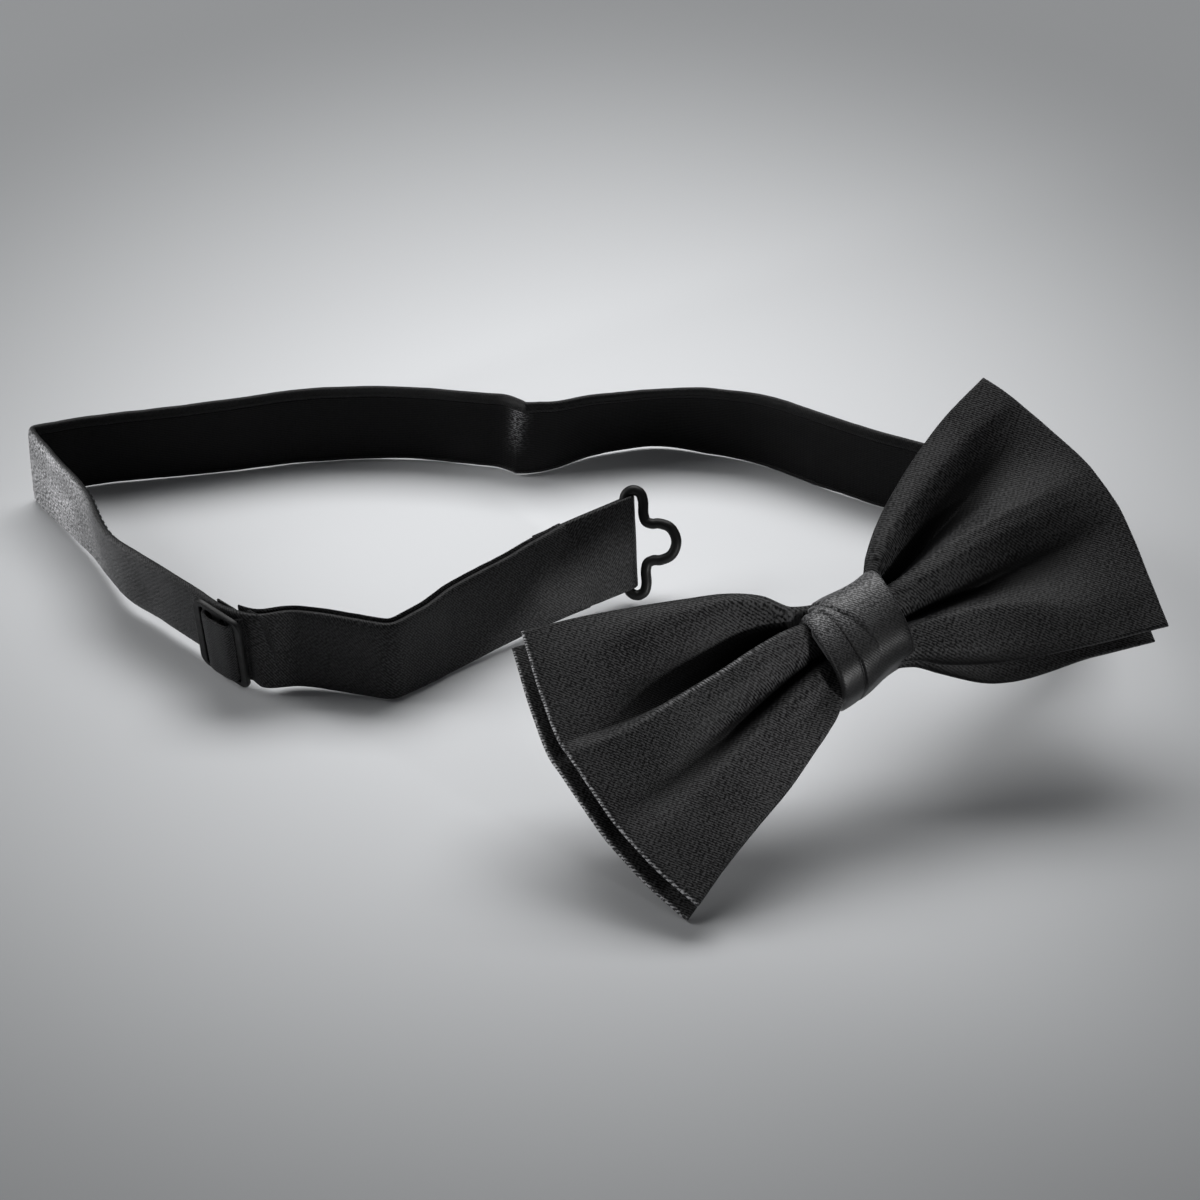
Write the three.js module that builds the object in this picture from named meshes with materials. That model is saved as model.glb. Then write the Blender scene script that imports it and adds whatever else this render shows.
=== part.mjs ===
// Pre-tied satin bow tie on an adjustable neckband, its clasp undone and the band standing on edge.
// Millimetres, +Z up. The object rests on Z = 0 and the origin is the middle of its footprint.
import * as THREE from "three";

// ---------------------------------------------------------------- driving dimensions
const BAND_WIDTH = 20;
const BAND_HALF_THICKNESS = 1; // cover, interlining and lining together are 2 mm thick
const SATIN_PLY = 0.35;
const LIP = 2; // how far the cover turns over onto the lining
const CLEARANCE = 0.3; // between two pieces that touch
const HINGE_CLEARANCE = 1.8; // from a fold line to the end of the strap beside it

const WING_LENGTH = 65.5; // from the knot's middle to the middle of a wing's end
const WING_CORNER = 59; // from the knot's middle to a wing's corner
const WING_HALF_HEIGHT = 33.3;
const WAIST_HALF_HEIGHT = 8.3;
const WAIST_DROP = 2.5; // the waist and its knot sit this far below the wings' middle
const WAIST_HALF_LENGTH = 10.9;
const LAYER_THICKNESS = 2.3; // one bow layer: front ply, stiffener and back ply
const BOW_PLY = 0.5;
const PLEAT_DEPTH = 2.2;
const LOWER_BOW_SHIFT = -1.4; // the lower bow's wing ends lie this far along, to the left
const LOWER_BOW_DEPTH = 7.5; // behind the upper bow at the wings
const LOWER_BOW_WAIST_DEPTH = 3.4;

const KNOT_HALF_WIDTH = 10.2;
const KNOT_INNER_HALF_HEIGHT = 9.1;
const KNOT_FRONT = 5.8; // inner face of the wrap in front of the bow
const KNOT_BACK = -10.9;
const KNOT_WRAP_THICKNESS = 1;

const SLIDER_WIDTH = 14;
const SLIDER_HEIGHT = 22;
const SLIDER_THICKNESS = 1.2;
const SLIDER_BAR = 2;
const SLIDER_SLOT_HALF_HEIGHT = 9.7;
const BAND_IN_SLIDER_HALF = 9.3; // the band is squeezed a little where it crosses the slider
const SLIDER_STAND_OFF = 2; // from the band's middle plane to the back of the slider

const CLASP_WIRE = 2; // diameter
const HOOK_WIRE = 1.6;

// The bow's own frame: x along the bow, y up its face, z out of its front.
const BOW_CENTRE = new THREE.Vector3(57, -39, 38.8);
const BOW_HEADING = THREE.MathUtils.degToRad(31);
const BOW_ROLL = THREE.MathUtils.degToRad(-13); // the right wing is the higher one
const BOW_LEAN = THREE.MathUtils.degToRad(33); // the face tips up from lying flat

// ---------------------------------------------------------------- materials
function material(colour, roughness, metalness = 0) {
  return new THREE.MeshStandardMaterial({ color: colour, roughness, metalness });
}
const satin = () => material(0x17171a, 0.45);
const lining = () => material(0x0c0c0e, 0.8);
const interlining = () => material(0x2a2a2c, 0.95);
const thread = () => material(0x111113, 0.7);
const blackPaint = () => material(0x0a0a0b, 0.35, 0.3);

const bowTie = new THREE.Group();
const bow = new THREE.Group();
bow.position.copy(BOW_CENTRE);
bow.rotation.set(BOW_LEAN, BOW_ROLL, BOW_HEADING, "ZYX");
bow.updateMatrix();
bowTie.add(bow);

function addPiece(parent, name, geometry, finish) {
  const mesh = new THREE.Mesh(geometry, finish);
  mesh.name = name;
  parent.add(mesh);
  return mesh;
}

// ---------------------------------------------------------------- solids from sheets
function signedVolume(positions, faces) {
  const [a, b, c] = [new THREE.Vector3(), new THREE.Vector3(), new THREE.Vector3()];
  let volume = 0;
  for (let k = 0; k < faces.length; k += 3) {
    a.fromArray(positions, 3 * faces[k]);
    b.fromArray(positions, 3 * faces[k + 1]);
    c.fromArray(positions, 3 * faces[k + 2]);
    volume += a.dot(b.cross(c)) / 6;
  }
  return volume;
}

// A sheet with thickness. Each row is a list of [outer point, inner point]; a closed sheet joins
// the last pair of every row to the first, as a loop of cloth does. The second half of a closed
// sheet has its quads split the other way, so that both plies match a flat sheet between them.
function sheetSolid(rows, closed = false) {
  const columns = rows[0].length;
  const last = rows.length - 1;
  const positions = rows.flat(2).flatMap((point) => point.toArray());
  const at = (row, column, side) => 2 * (row * columns + (column % columns)) + side;
  const faces = [];
  const quad = (a, b, c, d, turned = false) => {
    if (turned) faces.push(a, b, d, b, c, d);
    else faces.push(a, b, c, a, c, d);
  };
  for (let i = 0; i < (closed ? columns : columns - 1); i++) {
    const turned = closed && i >= columns / 2;
    for (let j = 0; j < last; j++) {
      quad(at(j, i, 0), at(j, i + 1, 0), at(j + 1, i + 1, 0), at(j + 1, i, 0), turned);
      quad(at(j, i, 1), at(j + 1, i, 1), at(j + 1, i + 1, 1), at(j, i + 1, 1), turned);
    }
    quad(at(0, i, 0), at(0, i, 1), at(0, i + 1, 1), at(0, i + 1, 0));
    quad(at(last, i, 0), at(last, i + 1, 0), at(last, i + 1, 1), at(last, i, 1));
  }
  const end = columns - 1;
  for (let j = 0; j < last && !closed; j++) {
    quad(at(j, 0, 0), at(j + 1, 0, 0), at(j + 1, 0, 1), at(j, 0, 1));
    quad(at(j + 1, end, 0), at(j, end, 0), at(j, end, 1), at(j + 1, end, 1));
  }
  if (signedVolume(positions, faces) < 0) faces.reverse();
  const geometry = new THREE.BufferGeometry();
  geometry.setAttribute("position", new THREE.Float32BufferAttribute(positions, 3));
  geometry.setIndex(faces);
  geometry.computeVertexNormals();
  return geometry;
}

// ---------------------------------------------------------------- the bow
// Stations along the bow, measured where the corners are; every pair of wings is the same.
const WING_STATIONS = [0, 5.5, WAIST_HALF_LENGTH, 16, 23, 31, 41, 50, WING_CORNER];
const BOW_STATIONS = [...WING_STATIONS.slice(1).reverse().map((x) => -x), ...WING_STATIONS];
const BOW_ROWS = 12;

function bowHalfHeight(x) {
  const past = Math.max(0, Math.abs(x) - WAIST_HALF_LENGTH) / (WING_CORNER - WAIST_HALF_LENGTH);
  return WAIST_HALF_HEIGHT + (WING_HALF_HEIGHT - WAIST_HALF_HEIGHT) * past ** 0.75;
}

// Three gathered folds at the waist that fan out and die away towards the wing's end.
function pleat(x, v) {
  const past = THREE.MathUtils.clamp((Math.abs(x) - 8) / (WING_CORNER - 8), 0, 1);
  return PLEAT_DEPTH * Math.cos((past * Math.PI) / 2) * Math.cos(2.5 * Math.PI * v);
}

// How far behind the upper bow the lower one lies.
function lowerBowDepth(x) {
  const out = THREE.MathUtils.smoothstep(Math.abs(x), WAIST_HALF_LENGTH, 24);
  return THREE.MathUtils.lerp(LOWER_BOW_WAIST_DEPTH, LOWER_BOW_DEPTH, out);
}

function waistDrop(x) {
  return WAIST_DROP * (1 - THREE.MathUtils.smoothstep(Math.abs(x), WAIST_HALF_LENGTH, WING_CORNER));
}

function bowPoint(x, v, offset, inset, lower) {
  const end = WING_LENGTH - (WING_LENGTH - WING_CORNER) * v * v - inset;
  return new THREE.Vector3(
    (x / WING_CORNER) * end + (lower ? (LOWER_BOW_SHIFT * Math.abs(x)) / WING_CORNER : 0),
    v * bowHalfHeight(x) - waistDrop(x),
    pleat(x, v) - (lower ? lowerBowDepth(x) : 0) + offset,
  );
}

// A flattened loop of satin, folded at both wing ends and open along its top and bottom edges.
function bowCover(lower) {
  const outer = LAYER_THICKNESS / 2;
  const inner = outer - BOW_PLY;
  const rows = [];
  for (let j = 0; j <= BOW_ROWS; j++) {
    const v = (2 * j) / BOW_ROWS - 1;
    const ply = (x, side) => [
      bowPoint(x, v, side * outer, 0, lower),
      bowPoint(x, v, side * inner, BOW_PLY, lower),
    ];
    const front = BOW_STATIONS.map((x) => ply(x, 1));
    const back = [...BOW_STATIONS].reverse().map((x) => ply(x, -1));
    rows.push([...front, ...back]);
  }
  return sheetSolid(rows, true);
}

function bowStiffener(lower) {
  const half = LAYER_THICKNESS / 2 - BOW_PLY - CLEARANCE;
  const rows = [];
  for (let j = 0; j <= BOW_ROWS; j++) {
    const v = (2 * j) / BOW_ROWS - 1;
    rows.push(
      BOW_STATIONS.map((x) => [
        bowPoint(x, v, half, BOW_PLY + CLEARANCE, lower),
        bowPoint(x, v, -half, BOW_PLY + CLEARANCE, lower),
      ]),
    );
  }
  return sheetSolid(rows);
}

addPiece(bow, "upper_bow_cover", bowCover(false), satin());
addPiece(bow, "upper_bow_stiffener", bowStiffener(false), interlining());
addPiece(bow, "lower_bow_cover", bowCover(true), satin());
addPiece(bow, "lower_bow_stiffener", bowStiffener(true), interlining());

// ---------------------------------------------------------------- the knot
// One rounded ring round the bow's waist: points of its section across (y) and out (z).
function ringSection(halfHeight, back, front, radius, cornerSteps = 3) {
  const points = [];
  const corners = [
    [halfHeight - radius, front - radius, 0],
    [radius - halfHeight, front - radius, 90],
    [radius - halfHeight, back + radius, 180],
    [halfHeight - radius, back + radius, 270],
  ];
  for (const [y, z, start] of corners) {
    for (let k = 0; k <= cornerSteps; k++) {
      const angle = THREE.MathUtils.degToRad(start + (90 * k) / cornerSteps);
      points.push([y + radius * Math.cos(angle), z + radius * Math.sin(angle)]);
    }
  }
  return points;
}

function ring(halfWidth, halfHeight, back, front, radius, thickness, pleated = false) {
  const inner = ringSection(halfHeight, back, front, radius);
  const outer = ringSection(
    halfHeight + thickness,
    back - thickness,
    front + thickness,
    radius + thickness,
  );
  // Two shallow steps across the front are the edges of the wrap's folded pleats.
  const stations = pleated ? [-1, -0.45, -0.3, 0.15, 0.3, 1] : [-1, 1];
  const rise = pleated ? [0, 0, 0.5, 0.5, 1, 0.6] : [0, 0];
  const rows = stations.map((s, row) =>
    inner.map(([y, z], k) => {
      const lift = outer[k][1] > front ? rise[row] : 0;
      return [
        new THREE.Vector3(s * halfWidth, outer[k][0], outer[k][1] + lift),
        new THREE.Vector3(s * halfWidth, y, z),
      ];
    }),
  );
  return sheetSolid(rows, true);
}

const knot = new THREE.Group();
knot.position.y = -WAIST_DROP;
bow.add(knot);
addPiece(
  knot,
  "knot_wrap",
  ring(
    KNOT_HALF_WIDTH,
    KNOT_INNER_HALF_HEIGHT,
    KNOT_BACK,
    KNOT_FRONT,
    3.5,
    KNOT_WRAP_THICKNESS,
    true,
  ),
  satin(),
);
addPiece(knot, "waist_thread", ring(1.5, 8.5, -7.1, 3.65, 0.25, 0.3), thread());

function roundedRectangle(width, height, radius, middle = 0) {
  const [x, y] = [width / 2 - radius, height / 2 - radius];
  const shape = new THREE.Shape();
  shape.absarc(middle + x, y, radius, 0, Math.PI / 2);
  shape.absarc(middle - x, y, radius, Math.PI / 2, Math.PI);
  shape.absarc(middle - x, -y, radius, Math.PI, 1.5 * Math.PI);
  shape.absarc(middle + x, -y, radius, 1.5 * Math.PI, 2 * Math.PI);
  shape.closePath();
  return shape;
}

function plate(shape, thickness, curveSegments = 1) {
  return new THREE.ExtrudeGeometry(shape, { depth: thickness, bevelEnabled: false, curveSegments });
}

const padding = addPiece(
  knot,
  "knot_padding",
  plate(roundedRectangle(18, 12, 3), 1.2),
  interlining(),
);
padding.position.z = 4.3;

const backTack = addPiece(knot, "knot_back_tack", plate(roundedRectangle(3, 16, 1), 0.6), thread());
backTack.position.z = KNOT_BACK - KNOT_WRAP_THICKNESS - CLEARANCE - 0.6;

// ---------------------------------------------------------------- the band's route
// A station is the band's low and high edge. Along the knot they follow the bow's own frame.
function behindBow(x, depth, width = BAND_WIDTH) {
  const edge = (y) => new THREE.Vector3(x, y - WAIST_DROP, -depth).applyMatrix4(bow.matrix);
  return { low: edge(-width / 2), high: edge(width / 2) };
}

// Elsewhere the low edge is a point and the band leans from upright, towards a compass heading,
// so it stands on one corner of that edge.
function standing(x, y, z = 0, lean = 0, towards = 0) {
  const tilt = THREE.MathUtils.degToRad(lean);
  const heading = THREE.MathUtils.degToRad(towards);
  const low = new THREE.Vector3(x, y, z + BAND_HALF_THICKNESS * Math.sin(tilt));
  const across = new THREE.Vector3(
    Math.sin(tilt) * Math.cos(heading),
    Math.sin(tilt) * Math.sin(heading),
    Math.cos(tilt),
  );
  return { low, high: low.clone().addScaledVector(across, BAND_WIDTH) };
}

const BACK_BEND = new THREE.Vector3(-11, 82, 0);
const LEFT_FOLD = new THREE.Vector3(-125, 70, 0);
const FRONT_BEND = new THREE.Vector3(-39, -11, 0);

// From the catch behind the left wing, through the knot, round behind the right wing and back.
const RIGHT_ROUTE = [
  behindBow(-38, 13.6),
  behindBow(-32, 13.6),
  behindBow(-27, 13.6),
  behindBow(-22, 12.7),
  behindBow(-16, 10.5, 16),
  behindBow(-10, 8.7, 14),
  behindBow(0, 8.7, 14),
  behindBow(10, 8.7, 14),
  behindBow(16, 10.5, 16),
  behindBow(22, 12.7),
  behindBow(31, 14.5),
  standing(101, -10, 22, 48, 130),
  standing(112, 7, 13, 36, 152),
  standing(114, 27, 6, 22, 182),
  standing(106, 45, 3, 8, 212),
  standing(91, 56, 0.5),
  standing(71, 67),
  standing(58, 75),
  standing(44, 85, 0, 4, -120),
  standing(32, 90, 0, 10, -109),
  standing(20, 93, 0, 17, -92),
  standing(10, 91, 0, 17, -75),
  standing(2, 88, 0, 13, -65),
  standing(-5, 84, 0, 7, -68),
  standing(BACK_BEND.x, BACK_BEND.y),
];
const LEFT_ROUTE = [
  standing(BACK_BEND.x, BACK_BEND.y),
  standing(-18, 84),
  standing(-32, 87, 0, 2, -98),
  standing(-46, 88, 0, 2, -90),
  standing(-65, 86),
  standing(-83, 82, 0, 3, -79),
  standing(-99, 79, 0, 6, -79),
  standing(-113, 76, 0, 6, -72),
  standing(LEFT_FOLD.x, LEFT_FOLD.y),
];

// The slider runs on a straight stretch of the front run; distances are from the slider's middle.
// The slider is taller than the band and holds it off the ground there.
const SLIDE_ORIGIN = new THREE.Vector3(-72.5, -2, 1.7);
const SLIDE_HEADING = -46;
const SLIDE_LEAN = 14;
function onSlideLine(distance) {
  const heading = THREE.MathUtils.degToRad(SLIDE_HEADING);
  return standing(
    SLIDE_ORIGIN.x + distance * Math.cos(heading),
    SLIDE_ORIGIN.y + distance * Math.sin(heading),
    SLIDE_ORIGIN.z,
    SLIDE_LEAN,
    SLIDE_HEADING - 90,
  );
}
const FRONT_ROUTE = [
  standing(LEFT_FOLD.x, LEFT_FOLD.y),
  standing(-119, 60, 0.2, 3, -149),
  standing(-109, 44, 1, 6, -147),
  onSlideLine(-38),
  onSlideLine(-28),
  onSlideLine(-18),
  onSlideLine(-8),
  onSlideLine(1),
  onSlideLine(8),
  standing(-59, -6.5, 0.8, 5, -107),
  standing(-48, -8.5, 0.2, 2, -105),
  standing(FRONT_BEND.x, FRONT_BEND.y),
];

// The band's free end climbs a little in a straight line to the clasp's bar.
const CLASP_BAR = new THREE.Vector3(12.5, 27, 3.5);
const CLASP_LEAN = 30;
const CLASP_LEAN_TOWARDS = 95;
const END_DIRECTION = new THREE.Vector3(28, 18, 3).normalize();
function onEndLine(distance) {
  const point = CLASP_BAR.clone().addScaledVector(END_DIRECTION, distance);
  return standing(point.x, point.y, point.z, CLASP_LEAN, CLASP_LEAN_TOWARDS);
}
const END_ROUTE = [
  standing(FRONT_BEND.x, FRONT_BEND.y),
  standing(-32, -5, 0, 2, 130),
  standing(-24, 2, 0, 9, 125),
  onEndLine(-32),
  onEndLine(-24),
  onEndLine(-16),
  onEndLine(-8),
  onEndLine(0),
];

// A route's two edges as curves, with the length of its middle line measured in short steps.
const MEASURING_STEPS = 400;
function measureRoute(route) {
  const low = new THREE.CatmullRomCurve3(route.map((s) => s.low), false, "centripetal");
  const high = new THREE.CatmullRomCurve3(route.map((s) => s.high), false, "centripetal");
  const middle = (t) => low.getPoint(t).add(high.getPoint(t)).multiplyScalar(0.5);
  const lengths = [0];
  for (let k = 1; k <= MEASURING_STEPS; k++) {
    const step = middle(k / MEASURING_STEPS).distanceTo(middle((k - 1) / MEASURING_STEPS));
    lengths.push(lengths[k - 1] + step);
  }
  return { low, high, middle, lengths, total: lengths[MEASURING_STEPS] };
}

// The band's frame at a distance: its middle, across (up the band) and out (the satin side).
function frameAt(measured, distance) {
  const { low, high, middle, lengths } = measured;
  const index = Math.max(1, lengths.findIndex((value) => value >= distance));
  const share = (distance - lengths[index - 1]) / (lengths[index] - lengths[index - 1]);
  const t = (index - 1 + share) / MEASURING_STEPS;
  const step = 1 / MEASURING_STEPS;
  const along = middle(Math.min(1, t + step)).sub(middle(Math.max(0, t - step))).normalize();
  const across = high.getPoint(t).sub(low.getPoint(t));
  const width = across.length();
  across.divideScalar(width);
  const out = along.cross(across).normalize();
  return { distance, middle: middle(t), across, out, scale: width / BAND_WIDTH };
}

// Frames from one distance to another in even steps; distances past the end count back from it.
function framesAlong(route, from, to, count) {
  const measured = measureRoute(route);
  const end = to > 0 ? to : measured.total + to;
  const frames = [];
  for (let k = 0; k <= count; k++) {
    frames.push(frameAt(measured, THREE.MathUtils.lerp(from, end, k / count)));
  }
  return frames;
}

function layer(frames, pairs) {
  const place = (frame, [across, out]) =>
    frame.middle
      .clone()
      .addScaledVector(frame.across, across * frame.scale)
      .addScaledVector(frame.out, out);
  const rows = frames.map((frame) => pairs.map((pair) => pair.map((point) => place(frame, point))));
  return sheetSolid(rows);
}

function flatLayer(low, high, outer, inner) {
  return [
    [[low, outer], [low, inner]],
    [[high, outer], [high, inner]],
  ];
}

const HALF = BAND_WIDTH / 2;
const T = BAND_HALF_THICKNESS;
const COVER_SECTION = [
  [[LIP - HALF, -T], [LIP - HALF, SATIN_PLY - T]],
  [[-HALF, -T], [SATIN_PLY - HALF, SATIN_PLY - T]],
  [[-HALF, T], [SATIN_PLY - HALF, T - SATIN_PLY]],
  [[HALF, T], [HALF - SATIN_PLY, T - SATIN_PLY]],
  [[HALF, -T], [HALF - SATIN_PLY, SATIN_PLY - T]],
  [[HALF - LIP, -T], [HALF - LIP, SATIN_PLY - T]],
];
const CORE_HALF = T - SATIN_PLY - CLEARANCE;
const CORE_SECTION = flatLayer(0.7 - HALF, HALF - 0.7, CORE_HALF, -CORE_HALF);
const LINING_EDGE = HALF - LIP - CLEARANCE;
const LINING_SECTION = flatLayer(-LINING_EDGE, LINING_EDGE, SATIN_PLY - T, -T);

function addBandSection(name, frames) {
  addPiece(bowTie, `${name}_cover`, layer(frames, COVER_SECTION), satin());
  addPiece(bowTie, `${name}_interlining`, layer(frames, CORE_SECTION), interlining());
  addPiece(bowTie, `${name}_lining`, layer(frames, LINING_SECTION), lining());
}

// The band runs to the clasp and comes back on the inside, to be sewn round the slider's bar. The
// returning layer stops further from the front bend, where it is in the inside of the corner.
const STRAP_END_FROM_BAR = 13; // the band stops here and its sliding end fold covers the rest
const RETURN_HINGE_CLEARANCE = 3.6;
const RETURN_OUTER = -T - CLEARANCE;
const RETURN_THICKNESS = 0.8;
const RETURN_INNER = RETURN_OUTER - RETURN_THICKNESS;
const RETURN_SECTION = flatLayer(1 - HALF, HALF + 0.4, RETURN_OUTER, RETURN_INNER);
const RETURN_START = 82; // along the front run from the left fold, behind the slider

const toBend = framesAlong(FRONT_ROUTE, HINGE_CLEARANCE, -RETURN_HINGE_CLEARANCE, 18);
const atBend = framesAlong(FRONT_ROUTE, HINGE_CLEARANCE, -HINGE_CLEARANCE, 1)[1];
const fromBend = framesAlong(END_ROUTE, RETURN_HINGE_CLEARANCE, -STRAP_END_FROM_BAR, 9);
const pastBend = framesAlong(END_ROUTE, HINGE_CLEARANCE, -STRAP_END_FROM_BAR, 1)[0];
const behindSlider = toBend.filter((frame) => frame.distance > RETURN_START);

addBandSection("band_right", framesAlong(RIGHT_ROUTE, 0, -HINGE_CLEARANCE, 30));
addBandSection("band_left", framesAlong(LEFT_ROUTE, HINGE_CLEARANCE, -HINGE_CLEARANCE, 14));
addBandSection("band_front", [...toBend, atBend]);
addBandSection("band_end", [pastBend, ...fromBend]);
addPiece(bowTie, "return_strap_front", layer(behindSlider, RETURN_SECTION), satin());
addPiece(bowTie, "return_strap_end", layer(fromBend, RETURN_SECTION), satin());

// A group whose x runs along the band, y up it and z out of its satin side.
function bandFrame(station, along) {
  const across = station.high.clone().sub(station.low).normalize();
  const out = along.clone().cross(across).normalize();
  const middle = station.low.clone().lerp(station.high, 0.5);
  const matrix = new THREE.Matrix4().makeBasis(across.clone().cross(out), across, out);
  const group = new THREE.Group();
  group.applyMatrix4(matrix.setPosition(middle));
  bowTie.add(group);
  return group;
}

// A length of folded band: its section in the plane of x (along) and z (out), extruded up the band.
function foldedStrip(section, halfHeight) {
  const row = (y) =>
    section.map((pair) => pair.map(([x, z]) => new THREE.Vector3(x, y, z)));
  return sheetSolid([row(-halfHeight), row(halfHeight)]);
}

// Two legs joined by a half turn round a bar at x = 0, z = centre, with the legs running to -x.
function foldSection(legOut, legIn, centre, innerRadius, thickness, steps = 6) {
  const outerRadius = innerRadius + thickness;
  const pairs = [[[-legOut, centre + outerRadius], [-legOut, centre + innerRadius]]];
  for (let k = 0; k <= steps; k++) {
    const angle = Math.PI / 2 - (Math.PI * k) / steps;
    const [c, s] = [Math.cos(angle), Math.sin(angle)];
    pairs.push([
      [outerRadius * c, centre + outerRadius * s],
      [innerRadius * c, centre + innerRadius * s],
    ]);
  }
  pairs.push([[-legIn, centre - outerRadius], [-legIn, centre - innerRadius]]);
  return pairs;
}

// ---------------------------------------------------------------- the slider
const slideHeading = THREE.MathUtils.degToRad(SLIDE_HEADING);
const slideDirection = new THREE.Vector3(Math.cos(slideHeading), Math.sin(slideHeading), 0);
const sliderFrame = bandFrame(onSlideLine(0), slideDirection);

function sliderShape() {
  const shape = roundedRectangle(SLIDER_WIDTH, SLIDER_HEIGHT, 2.5);
  const slotInner = SLIDER_BAR * 0.6;
  const slotOuter = SLIDER_WIDTH / 2 - SLIDER_BAR;
  const slotMiddle = (slotInner + slotOuter) / 2;
  for (const side of [-1, 1]) {
    const slot = roundedRectangle(
      slotOuter - slotInner,
      2 * SLIDER_SLOT_HALF_HEIGHT,
      0.8,
      side * slotMiddle,
    );
    shape.holes.push(slot);
  }
  return shape;
}
const sliderPlate = addPiece(
  sliderFrame,
  "slider",
  plate(sliderShape(), SLIDER_THICKNESS, 2),
  blackPaint(),
);
sliderPlate.position.z = SLIDER_STAND_OFF;

// The band rises through one slot, crosses the middle bar and goes down through the other.
const HUMP_PLY = 0.8;
const humpOutline = [
  [4.2, T + CLEARANCE],
  [4, 3.6],
  [2.6, 4.8],
  [0, 5.1],
  [-2.6, 4.8],
  [-4, 3.6],
  [-4.2, T + CLEARANCE],
];
const humpInner = [
  [4.2 - HUMP_PLY, T + CLEARANCE],
  [3.3, 3.3],
  [2.2, 4.1],
  [0, 5.1 - HUMP_PLY],
  [-2.2, 4.1],
  [-3.3, 3.3],
  [HUMP_PLY - 4.2, T + CLEARANCE],
];
addPiece(
  sliderFrame,
  "band_over_slider",
  foldedStrip(
    humpOutline.map((point, k) => [point, humpInner[k]]),
    BAND_IN_SLIDER_HALF,
  ),
  satin(),
);

// The sewn end: a small fold round the middle bar, and the leg that is stitched down behind.
const barCentre = SLIDER_STAND_OFF + SLIDER_THICKNESS / 2;
const loopInner = SLIDER_THICKNESS / 2 + 0.25;
const loopSection = foldSection(1.5, 1.5, barCentre, loopInner, 0.35);
const tailLoop = addPiece(sliderFrame, "tail_loop", foldedStrip(loopSection, BAND_IN_SLIDER_HALF - 0.3), satin());
tailLoop.position.x = 1.2;

const TAIL_OUTER = RETURN_INNER - CLEARANCE;
const TAIL_THICKNESS = 0.7;
const tailLeg = [
  [[-11, TAIL_OUTER], [-11, TAIL_OUTER - TAIL_THICKNESS]],
  [[4, TAIL_OUTER], [4, TAIL_OUTER - TAIL_THICKNESS]],
];
addPiece(sliderFrame, "tail_end", foldedStrip(tailLeg, HALF - 0.3), satin());
const tailTack = addPiece(
  sliderFrame,
  "tail_bar_tack",
  plate(roundedRectangle(1.6, 15, 0.7), 0.5),
  thread(),
);
tailTack.position.set(1.5, 0, TAIL_OUTER - TAIL_THICKNESS - CLEARANCE - 0.5);

// ---------------------------------------------------------------- the clasp
const claspStation = onEndLine(0);
const claspFrame = bandFrame(claspStation, END_DIRECTION);
const BAR_OUT = (T + RETURN_INNER) / 2; // the bar lies midway between the band's two layers
const CLASP_FOLD_INNER = (T - RETURN_INNER) / 2 + CLEARANCE;
const claspFold = foldSection(20, 20, BAR_OUT, CLASP_FOLD_INNER, 0.5);

// The fold follows the slanting band, so its legs are sheared to the band's own direction.
const shear = END_DIRECTION.dot(claspStation.high.clone().sub(claspStation.low).normalize());
const claspFoldRows = [-HALF, HALF].map((y) =>
  claspFold.map((pair) => pair.map(([x, z]) => new THREE.Vector3(x, y + x * shear, z))),
);
addPiece(claspFrame, "clasp_fold", sheetSolid(claspFoldRows), satin());

// A wire bent into a closed loop: bar, two small end loops, and a hump that takes the hook.
function wirePath(points) {
  return new THREE.CatmullRomCurve3(points.map((p) => new THREE.Vector3(...p)), false, "centripetal");
}
function wire(path, diameter, steps) {
  const section = new THREE.Shape().absarc(0, 0, diameter / 2, 0, 2 * Math.PI);
  return new THREE.ExtrudeGeometry(section, { extrudePath: path, steps, curveSegments: 4 });
}
const claspUpper = [
  [0, 0.3, 0],
  [0, 5, 0],
  [0, 9.4, 0],
  [0.6, 11.1, 0],
  [2.1, 11.8, 0],
  [3.6, 11.1, 0],
  [4.2, 9.4, 0],
  [4.2, 6.2, 0],
  [4.7, 4.7, 0],
  [6, 4.1, 0],
  [7.6, 4.1, 0],
  [10.1, 3, 0],
];
const claspLower = [...claspUpper].reverse().map(([x, y, z]) => [x, -y, z]);
const claspPath = wirePath([...claspUpper, [11.3, 0, 0], ...claspLower]);
const CLASP_TURN = THREE.MathUtils.degToRad(30); // turned about its bar towards the front
const clasp = addPiece(claspFrame, "clasp_loop", wire(claspPath, CLASP_WIRE, 48), blackPaint());
clasp.position.z = BAR_OUT;
clasp.rotation.y = -CLASP_TURN;

// ---------------------------------------------------------------- the catch behind the left wing
const CATCH_BAR_X = -41.5;
const CATCH_DEPTH = 13.6;
const catchFrame = new THREE.Group();
catchFrame.position.set(CATCH_BAR_X, -WAIST_DROP, -CATCH_DEPTH);
catchFrame.rotation.y = Math.PI; // its own x runs to the left, away from the knot
bow.add(catchFrame);
const catchFold = foldSection(11, 11, 0, T + CLEARANCE, 0.5);
addPiece(catchFrame, "catch_fold", foldedStrip(catchFold, HALF), satin());
const catchTack = addPiece(
  catchFrame,
  "catch_bar_tack",
  plate(roundedRectangle(1.6, 15, 0.7), 0.5),
  thread(),
);
catchTack.position.set(-8, 0, T + CLEARANCE + 0.5 + CLEARANCE);

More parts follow.
